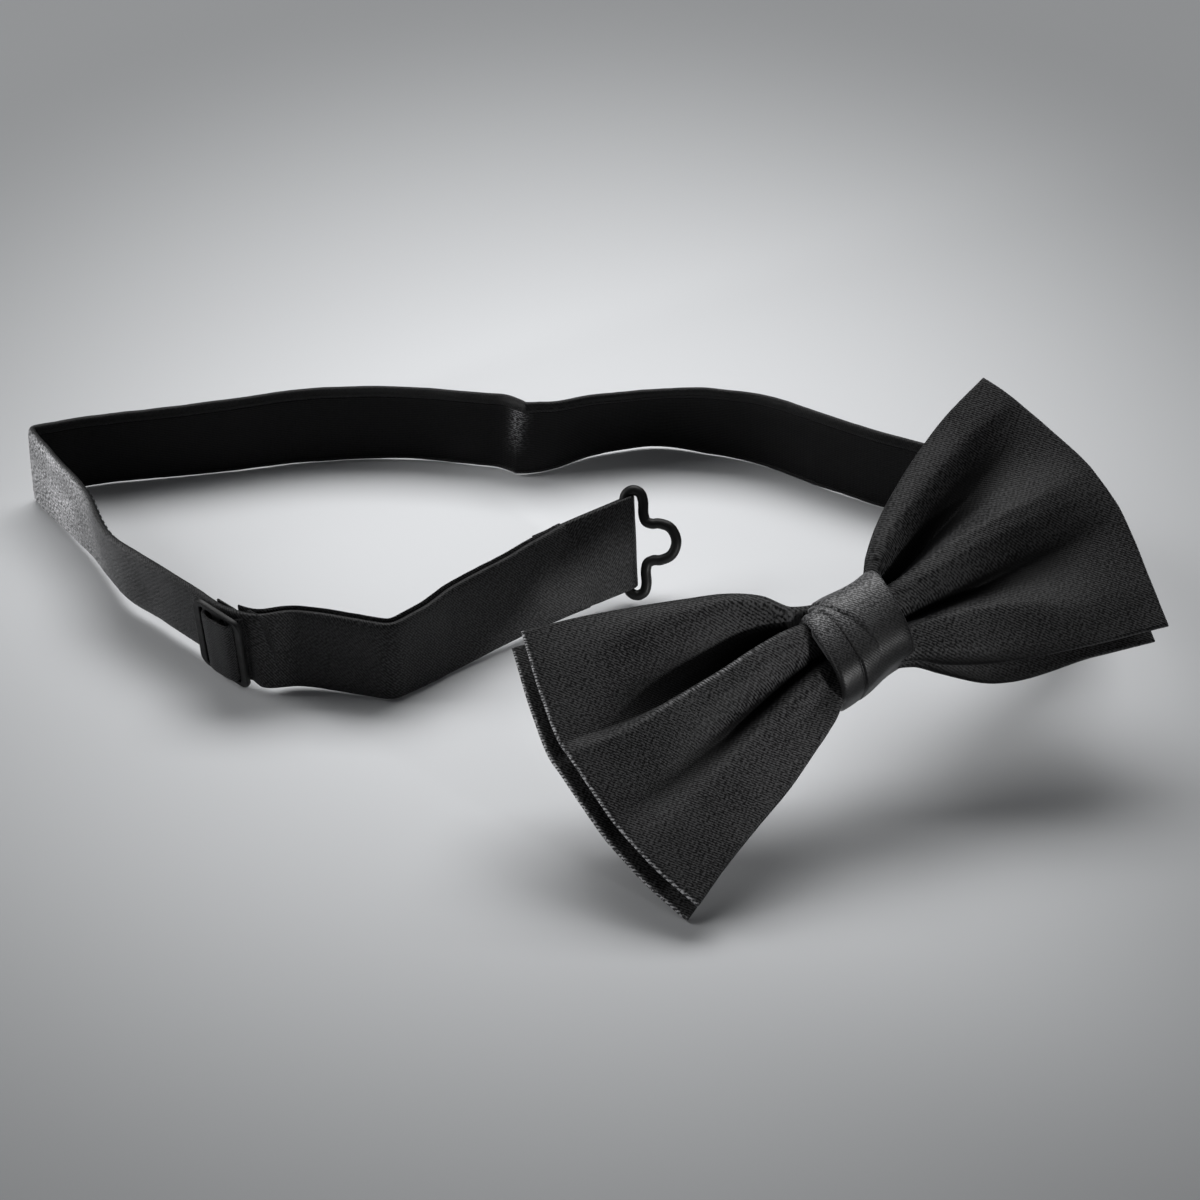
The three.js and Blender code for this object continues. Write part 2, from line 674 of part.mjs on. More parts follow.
const hookUpper = [
  [0, 0.3, 0],
  [0, 5, 0],
  [0, 9.4, 0],
  [0.7, 11, 0],
  [2.2, 11.6, 0],
  [3.9, 10.6, 0],
  [5.6, 7.6, 0],
  [7.4, 3.6, 0],
  [9, 1.7, 0],
  [11, 1.3, 0],
  [13.5, 1.3, 0],
  [15.4, 1.3, 0.9],
  [15.9, 1.3, 2.7],
  [14.6, 1.3, 4.2],
  [12, 1.3, 4.6],
];
const hookLower = [...hookUpper].reverse().map(([x, y, z]) => [x, -y, z]);
const hookPath = wirePath([...hookUpper, [10.8, 0, 4.7], ...hookLower]);
addPiece(catchFrame, "catch_hook", wire(hookPath, HOOK_WIRE, 60), blackPaint());

bowTie.position.y = -1; // puts the origin in the middle of the footprint

export default bowTie;
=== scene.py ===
"""Looks of a pre-tied satin bow tie on an adjustable neckband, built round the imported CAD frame.

Shapes are worked out in millimetres in the row frame and turned into metres as each mesh is made.
"""

import math

import bpy
import mathutils
import numpy as np
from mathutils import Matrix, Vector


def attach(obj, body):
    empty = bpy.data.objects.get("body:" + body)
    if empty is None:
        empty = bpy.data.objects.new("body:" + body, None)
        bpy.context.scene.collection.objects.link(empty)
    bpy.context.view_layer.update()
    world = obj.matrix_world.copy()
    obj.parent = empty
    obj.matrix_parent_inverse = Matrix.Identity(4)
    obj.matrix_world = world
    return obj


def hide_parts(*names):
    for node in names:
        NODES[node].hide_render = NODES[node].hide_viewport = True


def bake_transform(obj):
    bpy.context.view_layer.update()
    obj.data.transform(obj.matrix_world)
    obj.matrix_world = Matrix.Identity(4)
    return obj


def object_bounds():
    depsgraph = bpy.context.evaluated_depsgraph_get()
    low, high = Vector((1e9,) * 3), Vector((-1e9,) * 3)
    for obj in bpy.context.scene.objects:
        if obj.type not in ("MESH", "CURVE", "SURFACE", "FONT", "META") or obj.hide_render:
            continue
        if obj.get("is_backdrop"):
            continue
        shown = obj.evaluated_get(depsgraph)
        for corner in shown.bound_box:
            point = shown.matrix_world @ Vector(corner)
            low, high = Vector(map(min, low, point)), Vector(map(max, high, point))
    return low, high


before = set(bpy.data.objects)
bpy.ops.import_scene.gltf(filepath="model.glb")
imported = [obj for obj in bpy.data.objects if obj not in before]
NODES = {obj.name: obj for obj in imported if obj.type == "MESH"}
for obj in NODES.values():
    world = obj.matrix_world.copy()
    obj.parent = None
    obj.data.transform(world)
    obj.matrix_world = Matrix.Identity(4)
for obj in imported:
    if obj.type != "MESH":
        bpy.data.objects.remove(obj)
cad_low, cad_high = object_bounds()
MM = 0.001

RIGHT_BODY, LEFT_BODY, FRONT_BODY = "bow_and_right_band", "left_band", "front_band"
END_BODY, ADJUSTER, CLASP_END, CLASP, CATCH = "end_band", "adjuster", "clasp_end", "clasp", "catch"


# ---- numbers
def unit(v):
    return v / np.linalg.norm(v, axis=-1, keepdims=True)


def smoothstep(x, low, high):
    t = np.clip((x - low) / (high - low), 0.0, 1.0)
    return t * t * (3.0 - 2.0 * t)


def hump(x, middle, half_width):
    """A smooth bump of height 1 at the middle that is gone at the half width."""
    t = np.clip(np.abs(np.asarray(x, float) - middle) / half_width, 0.0, 1.0)
    return (1.0 - t * t) ** 2


def hermite(a, slope_a, b, slope_b, t):
    """The cubic from a to b that has these slopes at its ends."""
    return (
        (2 * t**3 - 3 * t**2 + 1) * a
        + (t**3 - 2 * t**2 + t) * slope_a
        + (3 * t**2 - 2 * t**3) * b
        + (t**3 - t**2) * slope_b
    )


def pchip(xs, ys, x):
    """Monotone cubic through the points; xs ascend, and ys may be one row per x."""
    xs, ys = np.asarray(xs, float), np.asarray(ys, float)
    x = np.clip(np.asarray(x, float), xs[0], xs[-1])
    flat = ys.reshape(len(xs), -1)
    h = np.diff(xs)[:, None]
    d = np.diff(flat, axis=0) / h
    m = np.zeros_like(flat)
    m[0], m[-1] = d[0], d[-1]
    w1 = 2 * h[1:] + h[:-1]
    w2 = h[1:] + 2 * h[:-1]
    same = d[1:] * d[:-1] > 0
    safe0 = np.where(same, d[:-1], 1.0)
    safe1 = np.where(same, d[1:], 1.0)
    m[1:-1] = np.where(same, (w1 + w2) / (w1 / safe0 + w2 / safe1), 0.0)
    i = np.clip(np.searchsorted(xs, x, side="right") - 1, 0, len(xs) - 2)
    t = ((x - xs[i]) / (xs[i + 1] - xs[i]))[..., None]
    hh = (xs[i + 1] - xs[i])[..., None]
    made = hermite(flat[i], hh * m[i], flat[i + 1], hh * m[i + 1], t)
    return made.reshape(x.shape + ys.shape[1:])


def lengths_along(points, closed=False):
    """The length so far at each point of a path, and back at its start if it is closed."""
    if closed:
        points = np.vstack([points, points[:1]])
    steps = np.linalg.norm(np.diff(points, axis=0), axis=1)
    return np.concatenate([[0], np.cumsum(steps)])


def interpolated(want, xs, rows):
    """Rows of three numbers, known at xs, at the wanted places."""
    return np.stack([np.interp(want, xs, rows[:, k]) for k in range(3)], 1)


def lattice(i, j, seed):
    h = np.sin(i * 127.1 + j * 311.7 + seed * 74.7) * 43758.5453
    return (h - np.floor(h)) * 2.0 - 1.0


def noise2(u, v, seed=0):
    """Smooth noise from -1 to 1 that changes over a distance of about 1."""
    i, j = np.floor(u), np.floor(v)
    fu, fv = u - i, v - j
    fu, fv = fu * fu * (3 - 2 * fu), fv * fv * (3 - 2 * fv)
    low = lattice(i, j, seed) * (1 - fu) + lattice(i + 1, j, seed) * fu
    high = lattice(i, j + 1, seed) * (1 - fu) + lattice(i + 1, j + 1, seed) * fu
    return low * (1 - fv) + high * fv


def catmull(points, t):
    """Centripetal Catmull-Rom through the points, at shares t of its spans, as in the CAD."""
    p = np.asarray(points, float)
    n = len(p)
    padded = np.vstack([2 * p[0] - p[1], p, 2 * p[-1] - p[-2]])
    span = np.asarray(t, float) * (n - 1)
    i = np.clip(np.floor(span).astype(int), 0, n - 2)
    w = (span - i)[:, None]
    x0, x1, x2, x3 = (padded[i + k] for k in range(4))
    root = lambda a, b: np.sqrt(np.maximum(np.linalg.norm(a - b, axis=1), 1e-6))[:, None]
    d0, d1, d2 = root(x0, x1), root(x1, x2), root(x2, x3)
    t1 = ((x1 - x0) / d0 - (x2 - x0) / (d0 + d1) + (x2 - x1) / d1) * d1
    t2 = ((x2 - x1) / d1 - (x3 - x1) / (d1 + d2) + (x3 - x2) / d2) * d1
    return hermite(x1, t1, x2, t2, w)


# ---- meshes
def in_scene(name, data):
    """A new object in the scene that holds the data."""
    made = bpy.data.objects.new(name, data)
    bpy.context.scene.collection.objects.link(made)
    return made


def add_object(name, vertices, faces, uv, sharp=50):
    """A mesh object from millimetres, smooth but for edges sharper than `sharp` degrees."""
    mesh = bpy.data.meshes.new(name)
    mesh.from_pydata((np.asarray(vertices, float) * MM).tolist(), [], faces)
    layer = mesh.uv_layers.new(name="UVMap")
    layer.data.foreach_set("uv", np.asarray(uv, np.float32).ravel())
    mesh.validate()
    mesh.shade_smooth()
    mesh.set_sharp_from_angle(angle=math.radians(sharp))
    mesh.update()
    return in_scene(name, mesh)


def store(obj, label, values):
    """One number for each vertex, which the cloth materials read."""
    layer = obj.data.attributes.new(label, "FLOAT", "POINT")
    layer.data.foreach_set("value", np.asarray(values, np.float32).ravel())


def outward(vertices, faces):
    """True when the faces of a closed mesh point out of it."""
    v = np.asarray(vertices, float)
    v = v - v.mean(0)
    volume = 0.0
    for size in sorted({len(f) for f in faces}):
        f = np.array([face for face in faces if len(face) == size])
        for k in range(1, size - 1):
            volume += np.einsum("ij,ij->", v[f[:, 0]], np.cross(v[f[:, k]], v[f[:, k + 1]]))
    return volume > 0


def closed_skin(name, vertices, faces, uv, sharp):
    """An object from faces, and a list of UV pairs for each, that are made to point outwards."""
    if not outward(vertices, faces):
        faces = [face[::-1] for face in faces]
        uv = [face[::-1] for face in uv]
    return add_object(name, vertices, faces, [pair for face in uv for pair in face], sharp)


def tube(name, points, u, v, closed_rows=False, sharp=50):
    """A closed skin: each row of `points` is a loop round the piece. u is one number a row,
    and v is one a column and one more."""
    points = np.asarray(points, float)
    rows, columns = points.shape[:2]
    faces, uv = [], []
    for r in range(rows if closed_rows else rows - 1):
        this, following = r * columns, (r + 1) % rows * columns
        for c in range(columns):
            n = (c + 1) % columns
            faces.append((this + c, this + n, following + n, following + c))
            uv.append([(u[r], v[c]), (u[r], v[c + 1]), (u[r + 1], v[c + 1]), (u[r + 1], v[c])])
    if not closed_rows:
        across = range(columns)
        faces += [tuple(across[::-1]), tuple((rows - 1) * columns + c for c in across)]
        uv += [[(u[0], v[c]) for c in across[::-1]], [(u[-1], v[c]) for c in across]]
    return closed_skin(name, points.reshape(-1, 3), faces, uv, sharp)


def pillow(name, front, back, u, v, sharp=60):
    """Two grids that share their whole rim, sewn into one closed skin. u and v are grids of
    the cloth's own millimetres."""
    rows, columns = front.shape[:2]
    inner = [(r, c) for r in range(1, rows - 1) for c in range(1, columns - 1)]
    number = {place: rows * columns + k for k, place in enumerate(inner)}
    vertices = list(front.reshape(-1, 3)) + [back[r, c] for r, c in inner]
    faces, uv = [], []
    for r in range(rows - 1):
        for c in range(columns - 1):
            corners = ((r, c), (r, c + 1), (r + 1, c + 1), (r + 1, c))
            faces.append(tuple(a * columns + b for a, b in corners))
            uv.append([(u[p], v[p]) for p in corners])
            turned = corners[::-1]
            faces.append(tuple(number.get(p, p[0] * columns + p[1]) for p in turned))
            uv.append([(u[p], v[p]) for p in turned])
    return closed_skin(name, vertices, faces, uv, sharp)


def wire(name, path, radius, sides):
    """A round wire along a path, with closed ends."""
    along = unit(np.gradient(path, axis=0))
    angle = 2 * np.pi * np.arange(sides) / sides
    side = np.cross(along[0], [0.3, 0.5, 0.81])
    loops = []
    for p, t in zip(path, along):
        side = side - t * np.dot(side, t)
        side = side / np.linalg.norm(side)
        other = np.cross(t, side)
        loops.append(
            p + radius * np.cos(angle)[:, None] * side + radius * np.sin(angle)[:, None] * other
        )
    girth = np.linspace(0, 2 * np.pi * radius, sides + 1)
    return tube(name, loops, lengths_along(path), girth)


def joined(name, objects):
    """One object from several, which are removed."""
    with bpy.context.temp_override(
        active_object=objects[0], selected_editable_objects=objects, selected_objects=objects
    ):
        bpy.ops.object.join()
    objects[0].name = name
    objects[0].data.name = name
    return objects[0]


# ---- materials
class Graph:
    """A short way to write a material's nodes."""

    def __init__(self, name):
        self.material = bpy.data.materials.new(name)
        self.material.use_nodes = True
        self.tree = self.material.node_tree
        self.tree.nodes.clear()
        self.shader = self.add("ShaderNodeBsdfPrincipled")
        output = self.add("ShaderNodeOutputMaterial")
        self.tree.links.new(self.shader.outputs[0], output.inputs[0])

    def add(self, kind, inputs=None, **settings):
        node = self.tree.nodes.new(kind)
        for key, value in settings.items():
            setattr(node, key, value)
        for key, value in (inputs or {}).items():
            self.put(node.inputs[key], value)
        return node

    def put(self, socket, value):
        """Links a socket, or sets it to a number or a colour."""
        if isinstance(value, bpy.types.NodeSocket):
            self.tree.links.new(value, socket)
        else:
            socket.default_value = (*value, 1) if socket.type == "RGBA" else value

    def math(self, operation, *values):
        return self.add("ShaderNodeMath", dict(enumerate(values)), operation=operation).outputs[0]

    def plus(self, a, b):
        return self.math("ADD", a, b)

    def times(self, a, b):
        return self.math("MULTIPLY", a, b)

    def scaled(self, value, low, high, new_low, new_high):
        inputs = {"Value": value, 1: low, 2: high, 3: new_low, 4: new_high}
        return self.add("ShaderNodeMapRange", inputs).outputs[0]

    def noise(self, where, scale, detail, roughness=0.5):
        inputs = {"Vector": where, "Scale": scale, "Detail": detail, "Roughness": roughness}
        return self.add("ShaderNodeTexNoise", inputs).outputs[0]

    def bump(self, height, strength, distance):
        inputs = {"Height": height, "Strength": strength, "Distance": distance}
        return self.add("ShaderNodeBump", inputs).outputs[0]

    def stored(self, label):
        """The number that store() put on the vertices, or 0."""
        made = self.add("ShaderNodeAttribute", attribute_name=label, attribute_type="GEOMETRY")
        return made.outputs["Fac"]

    def mixed(self, factor, a, b):
        """A colour between a and b; the Mix node's colour sockets are numbers 6 and 7."""
        return self.add("ShaderNodeMix", {0: factor, 6: a, 7: b}, data_type="RGBA").outputs[2]

    def set(self, **inputs):
        for key, value in inputs.items():
            self.put(self.shader.inputs[key.replace("_", " ")], value)


# Painted shade: the colour that folds and other places the light misses are darkened to.
SHADE = (0.0008, 0.0008, 0.0009)  # the bottom of a fold
# Painted highlight: the colour that single yarns are lightened to where they would catch the light.
HIGHLIGHT_COLOUR = (0.42, 0.42, 0.43)  # a thread that catches the light
SHEEN_TINT = (0.85, 0.87, 0.9)


def cloth(
    name, dark, light, rough, pitch, angle, rib, grain, sheen, specular, bump=1, tones=(0.60, 0.95)
):
    """Woven cloth. The UV map is in millimetres: `pitch` is the weave's rib spacing, `angle` its
    slant in degrees, and `tones` the yarn's tones that become the dark and the light colour."""
    g = Graph(name)
    uv = g.add("ShaderNodeUVMap", uv_map="UVMap").outputs[0]
    x, y = g.add("ShaderNodeSeparateXYZ", {0: uv}).outputs[:2]
    c, s = math.cos(math.radians(angle)), math.sin(math.radians(angle))
    across = g.plus(g.times(x, c), g.times(y, s))
    along = g.math("SUBTRACT", g.times(y, c), g.times(x, s))
    wander = g.times(g.noise(uv, 0.35, 2.0), 0.35)
    ribs = g.math("SINE", g.times(g.plus(across, wander), 2 * math.pi / pitch))
    floats = g.math("SINE", g.times(along, 2 * math.pi / (pitch * 1.7)))
    drawn_out = g.add("ShaderNodeCombineXYZ", {0: across, 1: g.times(along, 0.5)}).outputs[0]
    yarn = g.noise(drawn_out, 1.4 / pitch, 2.0, 0.6)
    patches = g.noise(uv, 0.06, 3.0, 0.55)
    weave = g.plus(g.times(ribs, rib), g.times(floats, rib * 0.4))
    height = g.plus(weave, g.times(g.math("SUBTRACT", yarn, 0.5), grain))
    tone = g.plus(g.times(yarn, 1.25), g.times(patches, 0.3))
    tone = g.plus(g.plus(tone, g.times(ribs, 0.13)), g.times(floats, 0.05))
    colour = g.mixed(g.scaled(tone, *tones, 0.0, 1.0), dark, light)
    # Painted shade: the stored depth darkens the cloth towards SHADE where the light would not
    # reach.
    colour = g.mixed(g.times(g.stored("depth"), 0.95), colour, SHADE)
    # Painted highlight: yarns are lightened where the stored highlight mask says they catch the
    # light.
    high_yarn = g.scaled(g.plus(yarn, g.times(ribs, 0.08)), 0.485, 0.60, 0.06, 1.0)
    colour = g.mixed(g.times(g.stored("painted_highlight"), high_yarn), colour, HIGHLIGHT_COLOUR)
    gloss = g.plus(g.times(yarn, 0.5), g.times(patches, 0.5))
    g.set(
        Base_Color=colour,
        Roughness=g.scaled(gloss, 0.3, 0.7, rough - 0.07, rough + 0.07),
        Normal=g.bump(height, 0.6 * bump, 0.00005),
        Sheen_Weight=sheen,
        Sheen_Roughness=0.35,
        Sheen_Tint=SHEEN_TINT,
        Specular_IOR_Level=specular,
    )
    return g.material


SATIN = cloth(
    "satin", (0.002, 0.002, 0.0022), (0.047, 0.047, 0.048), rough=0.55, pitch=0.5, angle=38,
    rib=0.7, grain=2.2, sheen=0.04, specular=0.10, bump=0.9, tones=(0.64, 0.95),
)
KNOT_SATIN = cloth(
    "knot_satin", (0.004, 0.004, 0.0044), (0.036, 0.036, 0.037), rough=0.45, pitch=0.45, angle=130,
    rib=0.9, grain=1.6, sheen=0.05, specular=0.24, bump=0.35, tones=(0.64, 0.90),
)
BAND_SATIN = cloth(
    "band_satin", (0.0015, 0.0015, 0.0016), (0.037, 0.037, 0.038), rough=0.52, pitch=0.5, angle=40,
    rib=0.7, grain=2.2, sheen=0.05, specular=0.16, bump=0.9, tones=(0.64, 0.93),
)
LINING = cloth(
    "lining", (0.0015, 0.0015, 0.0017), (0.006, 0.006, 0.0063), rough=0.6, pitch=0.5, angle=90,
    rib=0.9, grain=2.0, sheen=0.01, specular=0.12,
)
FELT = cloth(
    "interlining", (0.02, 0.02, 0.021), (0.05, 0.05, 0.052), rough=0.9, pitch=0.6, angle=0,
    rib=0.2, grain=3.0, sheen=0.1, specular=0.2,
)
THREAD = cloth(
    "thread", (0.001, 0.001, 0.0011), (0.004, 0.004, 0.0042), rough=0.6, pitch=0.22, angle=50,
    rib=1.2, grain=0.6, sheen=0.02, specular=0.15,
)


def enamel():
    """Black paint on metal: a little orange peel, dust, and brighter rubbed edges."""
    g = Graph("black_enamel")
    place = g.add("ShaderNodeTexCoord").outputs["Object"]
    dust = g.noise(place, 420.0, 4.0)
    edge = g.add("ShaderNodeNewGeometry").outputs["Pointiness"]
    worn = g.times(g.scaled(edge, 0.53, 0.62, 0.0, 1.0), g.scaled(dust, 0.45, 0.65, 0.0, 1.0))
    g.set(
        Base_Color=g.mixed(worn, (0.002, 0.002, 0.0022), (0.03, 0.03, 0.031)),
        Roughness=g.scaled(dust, 0.3, 0.7, 0.42, 0.58),
        Normal=g.bump(g.noise(place, 2600.0, 2.0), 0.25, 0.00003),
        Specular_IOR_Level=0.25,
        Coat_Weight=0.05,
        Coat_Roughness=0.3,
    )
    return g.material


ENAMEL = enamel()


def dress(obj, material):
    """Gives an object its material."""
    obj.data.materials.clear()
    obj.data.materials.append(material)
    return obj


def stand_for(obj, body, *nodes):
    """The piece moves with the body and is shown in place of the CAD nodes."""
    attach(obj, body)
    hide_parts(*nodes)


# ---- the band's route
BAND_WIDTH = 20.0
SHIFT_Y = -1.0  # the CAD moves the whole object by this, to put the origin under its middle
WAIST_DROP = 2.5


def turn(axis, degrees):
    a = math.radians(degrees)
    c, s = math.cos(a), math.sin(a)
    i, j = [(1, 2), (2, 0), (0, 1)][axis]
    m = np.eye(3)
    m[i, i], m[i, j], m[j, i], m[j, j] = c, -s, s, c
    return m


# The bow's own frame: x along the bow, y up its face, z out of its front.
BOW_TURN = turn(2, 31) @ turn(1, -13) @ turn(0, 33)
BOW_ORIGIN = np.array([57.0, -39.0, 38.8])


def in_bow(points):
    """From the bow's own frame to the row frame."""
    return np.asarray(points, float) @ BOW_TURN.T + BOW_ORIGIN + [0, SHIFT_Y, 0]


def behind_bow(x, depth, width=BAND_WIDTH):
    ends = [[x, y - WAIST_DROP, -depth] for y in (-width / 2, width / 2)]
    return np.array(ends) @ BOW_TURN.T + BOW_ORIGIN


def standing(x, y, z=0.0, lean=0.0, towards=0.0):
    tilt, heading = math.radians(lean), math.radians(towards)
    low = np.array([x, y, z + math.sin(tilt)])
    across = np.array(
        [math.sin(tilt) * math.cos(heading), math.sin(tilt) * math.sin(heading), math.cos(tilt)]
    )
    return low, low + across * BAND_WIDTH


SLIDE_ORIGIN = np.array([-72.5, -2.0, 1.7])
SLIDE_HEADING = -46.0
SLIDE_LEAN = 14.0
SLIDE_DIRECTION = turn(2, SLIDE_HEADING)[:, 0]


def on_slide_line(distance):
    x, y, z = SLIDE_ORIGIN + SLIDE_DIRECTION * distance
    return standing(x, y, z, SLIDE_LEAN, SLIDE_HEADING - 90)


CLASP_BAR = np.array([12.5, 27.0, 3.5])
END_DIRECTION = unit(np.array([28.0, 18.0, 3.0]))


def on_end_line(distance):
    x, y, z = CLASP_BAR + END_DIRECTION * distance
    lean = pchip([-32, -27, -22, -16, -8, 0], [12, 17, 22, 27, 29, 30], distance)
    return standing(x, y, z, float(lean), 95)


# The band's stations: behind the bow (x, depth, width), and then along the floor (x, y, z, the
# degrees it leans and the heading it leans towards).
BEHIND = [
    (-38, 13.6), (-32, 13.6), (-27, 13.6), (-22, 12.7), (-16, 10.5, 16), (-10, 8.7, 14),
    (0, 8.7, 14), (10, 8.7, 14), (16, 10.5, 16), (22, 12.7), (31, 14.5),
]
FLOOR_RIGHT = [
    (101, -10, 22, 48, 130), (112, 7, 13, 36, 152), (114, 27, 6, 22, 182), (106, 45, 3, 8, 212),
    (91, 56, 0.5), (71, 67), (58, 75), (44, 85, 0, 4, -120), (32, 90, 0, 10, -109),
    (20, 93, 0, 17, -92), (10, 91, 0, 17, -75), (2, 88, 0, 13, -65), (-5, 84, 0, 7, -68),
    (-11, 82),
]
RIGHT_ROUTE = [behind_bow(*at) for at in BEHIND] + [standing(*at) for at in FLOOR_RIGHT]
FLOOR_LEFT = [
    (-11, 82), (-18, 84), (-32, 87, 0, 2, -98), (-46, 88, 0, 2, -90), (-65, 86),
    (-83, 82, 0, 3, -79), (-99, 79, 0, 6, -79), (-113, 76, 0, 6, -72), (-125, 70),
]
LEFT_ROUTE = [standing(*at) for at in FLOOR_LEFT]
FRONT_ROUTE = [
    standing(-125, 70),
    standing(-119, 60, 0.2, 3, -149),
    standing(-109, 44, 1, 6, -147),
    *[on_slide_line(d) for d in (-38, -28, -18, -8, 1)],
    standing(*(SLIDE_ORIGIN + SLIDE_DIRECTION * 8), 7, SLIDE_HEADING - 90),
    standing(-59, -6.5, 0.8, 1, -107),
    standing(-48, -8.5, 0.2, 0, -105),
    standing(-39, -11),
]
END_ROUTE = [
    standing(-39, -11),
    standing(-32, -5, 0, 2, 130),
    standing(-24, 2, 0, 8, 120),
    *[on_end_line(d) for d in (-30, -23, -16, -8, 0)],
]
STEP = 0.8  # between the rows of the band's meshes


class Strip:
    """The band's frames: middle, across (up the band), out (the satin side), scale of its
    width, and length so far."""

    def __init__(self, middle, across, scale):
        self.middle = middle
        along = unit(np.gradient(middle, axis=0))
        self.out = unit(np.cross(along, across))
        self.across = unit(np.cross(self.out, along))
        self.scale = scale
        self.length = lengths_along(middle)

    def part(self, low, high):
        """The frames from one length to another."""
        keep = (self.length >= low - 1e-6) & (self.length <= high + 1e-6)
        made = object.__new__(Strip)
        for key in ("middle", "out", "across", "scale", "length"):
            setattr(made, key, getattr(self, key)[keep])
        return made


def sample_route(route, cut_start, cut_end):
    """Even samples of a route's two edges, without its first and last few millimetres."""
    low, high = np.array([s[0] for s in route]), np.array([s[1] for s in route])
    t = np.linspace(0, 1, 2000)
    a, b = catmull(low, t), catmull(high, t)
    middle = (a + b) / 2
    done = lengths_along(middle)
    count = int(round((done[-1] - cut_start - cut_end) / STEP)) + 1
    want = np.linspace(cut_start, done[-1] - cut_end, count)
    middle, a, b = (interpolated(want, done, values) for values in (middle, a, b))
    edge = b - a
    width = np.linalg.norm(edge, axis=1)
    return middle, edge / width[:, None], width / BAND_WIDTH


def joined_routes(pieces, pulls):
    """Routes one after another, with a bend between each two that a bigger pull makes wider."""
    middles, acrosses, scales = pieces[0]
    for (middle, across, scale), pull in zip(pieces[1:], pulls):
        a, b = middles[-1], middle[0]
        gap = np.linalg.norm(b - a)
        slope_a, slope_b = unit(a - middles[-3]) * gap * pull, unit(middle[2] - b) * gap * pull
        w = np.linspace(0, 1, max(5, int(gap / 0.35)) + 1)[1:-1, None]
        middles = np.vstack([middles, hermite(a, slope_a, b, slope_b, w), middle])
        between = unit((1 - w) * acrosses[-1] + w * across[0])
        acrosses = np.vstack([acrosses, between, across])
        scales = np.concatenate([scales, np.ones(len(w)), scale])
    return middles, acrosses, scales


middle, across, scale = joined_routes(
    [
        sample_route(RIGHT_ROUTE, 0, 3.2),
        sample_route(LEFT_ROUTE, 3.2, 2.4),
        sample_route(FRONT_ROUTE, 2.4, 3.0),
        sample_route(END_ROUTE, 3.0, 0),
    ],
    [1.3, 1.9, 1.3],
)
BAND = Strip(middle + [0, SHIFT_Y, 0], across, scale)


def near(x, y, z=10.0):
    """The band's length where it passes nearest to a point of the row frame."""
    return BAND.length[np.argmin(np.linalg.norm(BAND.middle - [x, y, z], axis=1))]


BACK_BEND = near(-11, 81)
LEFT_FOLD = near(-125, 69)
FRONT_BEND = near(-39, -12)
SPLIT_RIGHT = near(40, 86)
SPLIT_LEFT = near(-65, 85)
SPLIT_FRONT = near(-92, 17)
BAND_END = BAND.length[-1]
KNOT_AT = near(*in_bow([[0, -WAIST_DROP, -8.7]])[0])


# ---- the band's cloth
def dent_at(a):
    """The length at which the band is dented at the back, which leans with the height."""
    return BACK_BEND + 1.0 - 0.12 * a


def ripple(length, a):
    """How far the cloth stands off its even run: long soft waves, a few creases, and the dent."""
    s = length[:, None]
    waves = 0.22 * noise2(s / 17.0, a / 30.0 + 3, 4) + 0.10 * noise2(s / 6.5, a / 9.0, 9)
    creases = 0.05 * noise2(s / 1.9, a / 12.0 + s / 30, 21)
    past = s - dent_at(a)
    dent = -1.5 * np.exp(-np.abs(past) / np.where(past > 0, 2.0, 6.0))
    dent = dent + hump(past, 5.5, 4.0) * 0.35
    flat = 1.0 - np.maximum(hump(s, SLIDER_AT, 30.0), hump(s, BAND_END, 30.0)) * 0.85
    flat = flat * (1.0 - hump(s, KNOT_AT, 45.0) * 0.8)
    return (waves + creases) * flat + dent


def edge_wave(length, side):
    """A band's edge is never quite straight."""
    return 0.16 * noise2(length / 9.0, side * 5.0, 33)


SLIDER_AT = near(*(SLIDE_ORIGIN + [0, SHIFT_Y, 10]))

# Half sections, from the middle of the outer face to the middle of the inner one: across, out.
EDGE = [
    (0, 1.02), (2, 1.02), (4, 1.01), (6, 0.99), (7.6, 0.95), (8.6, 0.88), (9.3, 0.76),
    (9.75, 0.55), (9.97, 0.22), (9.97, -0.20), (9.75, -0.55), (9.3, -0.80), (8.7, -0.93),
    (8.2, -1), (7.85, -0.99), (7.72, -0.86), (7.68, -0.62), (5, -0.58), (0, -0.58),
]
LINING_EDGE = [
    (0, -0.64), (4, -0.64), (7.2, -0.64), (7.55, -0.70), (7.6, -0.80), (7.3, -0.88),
    (6.6, -0.90), (4, -0.92), (0, -0.93),
]
# Below, the lining comes down nearly to the edge.
LOW_EDGE = [
    *EDGE[:11], (9.5, -0.75), (9.2, -0.9), (9, -0.97), (8.85, -0.95), (8.75, -0.82), (8.7, -0.62),
    *EDGE[-2:],
]
LOW_LINING = [(x * 8.65 / 7.6, y) for x, y in LINING_EDGE]
CORE_EDGE = [
    (0, 0.3), (6, 0.3), (8.7, 0.25), (8.95, 0), (8.7, -0.3), (6, -0.35), (0, -0.35),
]
RETURN_EDGE = [
    (0, -1.35), (5, -1.35), (8.6, -1.40), (9.4, -1.55), (9.6, -1.75), (9.4, -1.98),
    (8.6, -2.1), (5, -2.12), (0, -2.12),
]


def whole_section(half, lift=0.0, low=None):
    """A section's loop from its upper half, mirrored below unless `low` is given, moved up by
    `lift`."""
    top = np.array(half)
    low = np.array(low or half)[::-1] * [-1, 1]
    loop = np.vstack([top[1:-1], top[-1:], low[1:-1], low[-1:]])
    return loop + [lift, 0]


def dense(half, step=0.9):
    """Extra points on a half section's long straight runs."""
    made = [half[0]]
    for a, b in zip(half, half[1:]):
        count = max(1, int(math.dist(a, b) / step))
        for k in range(1, count + 1):
            w = k / count
            made.append((a[0] + (b[0] - a[0]) * w, a[1] + (b[1] - a[1]) * w))
    return made


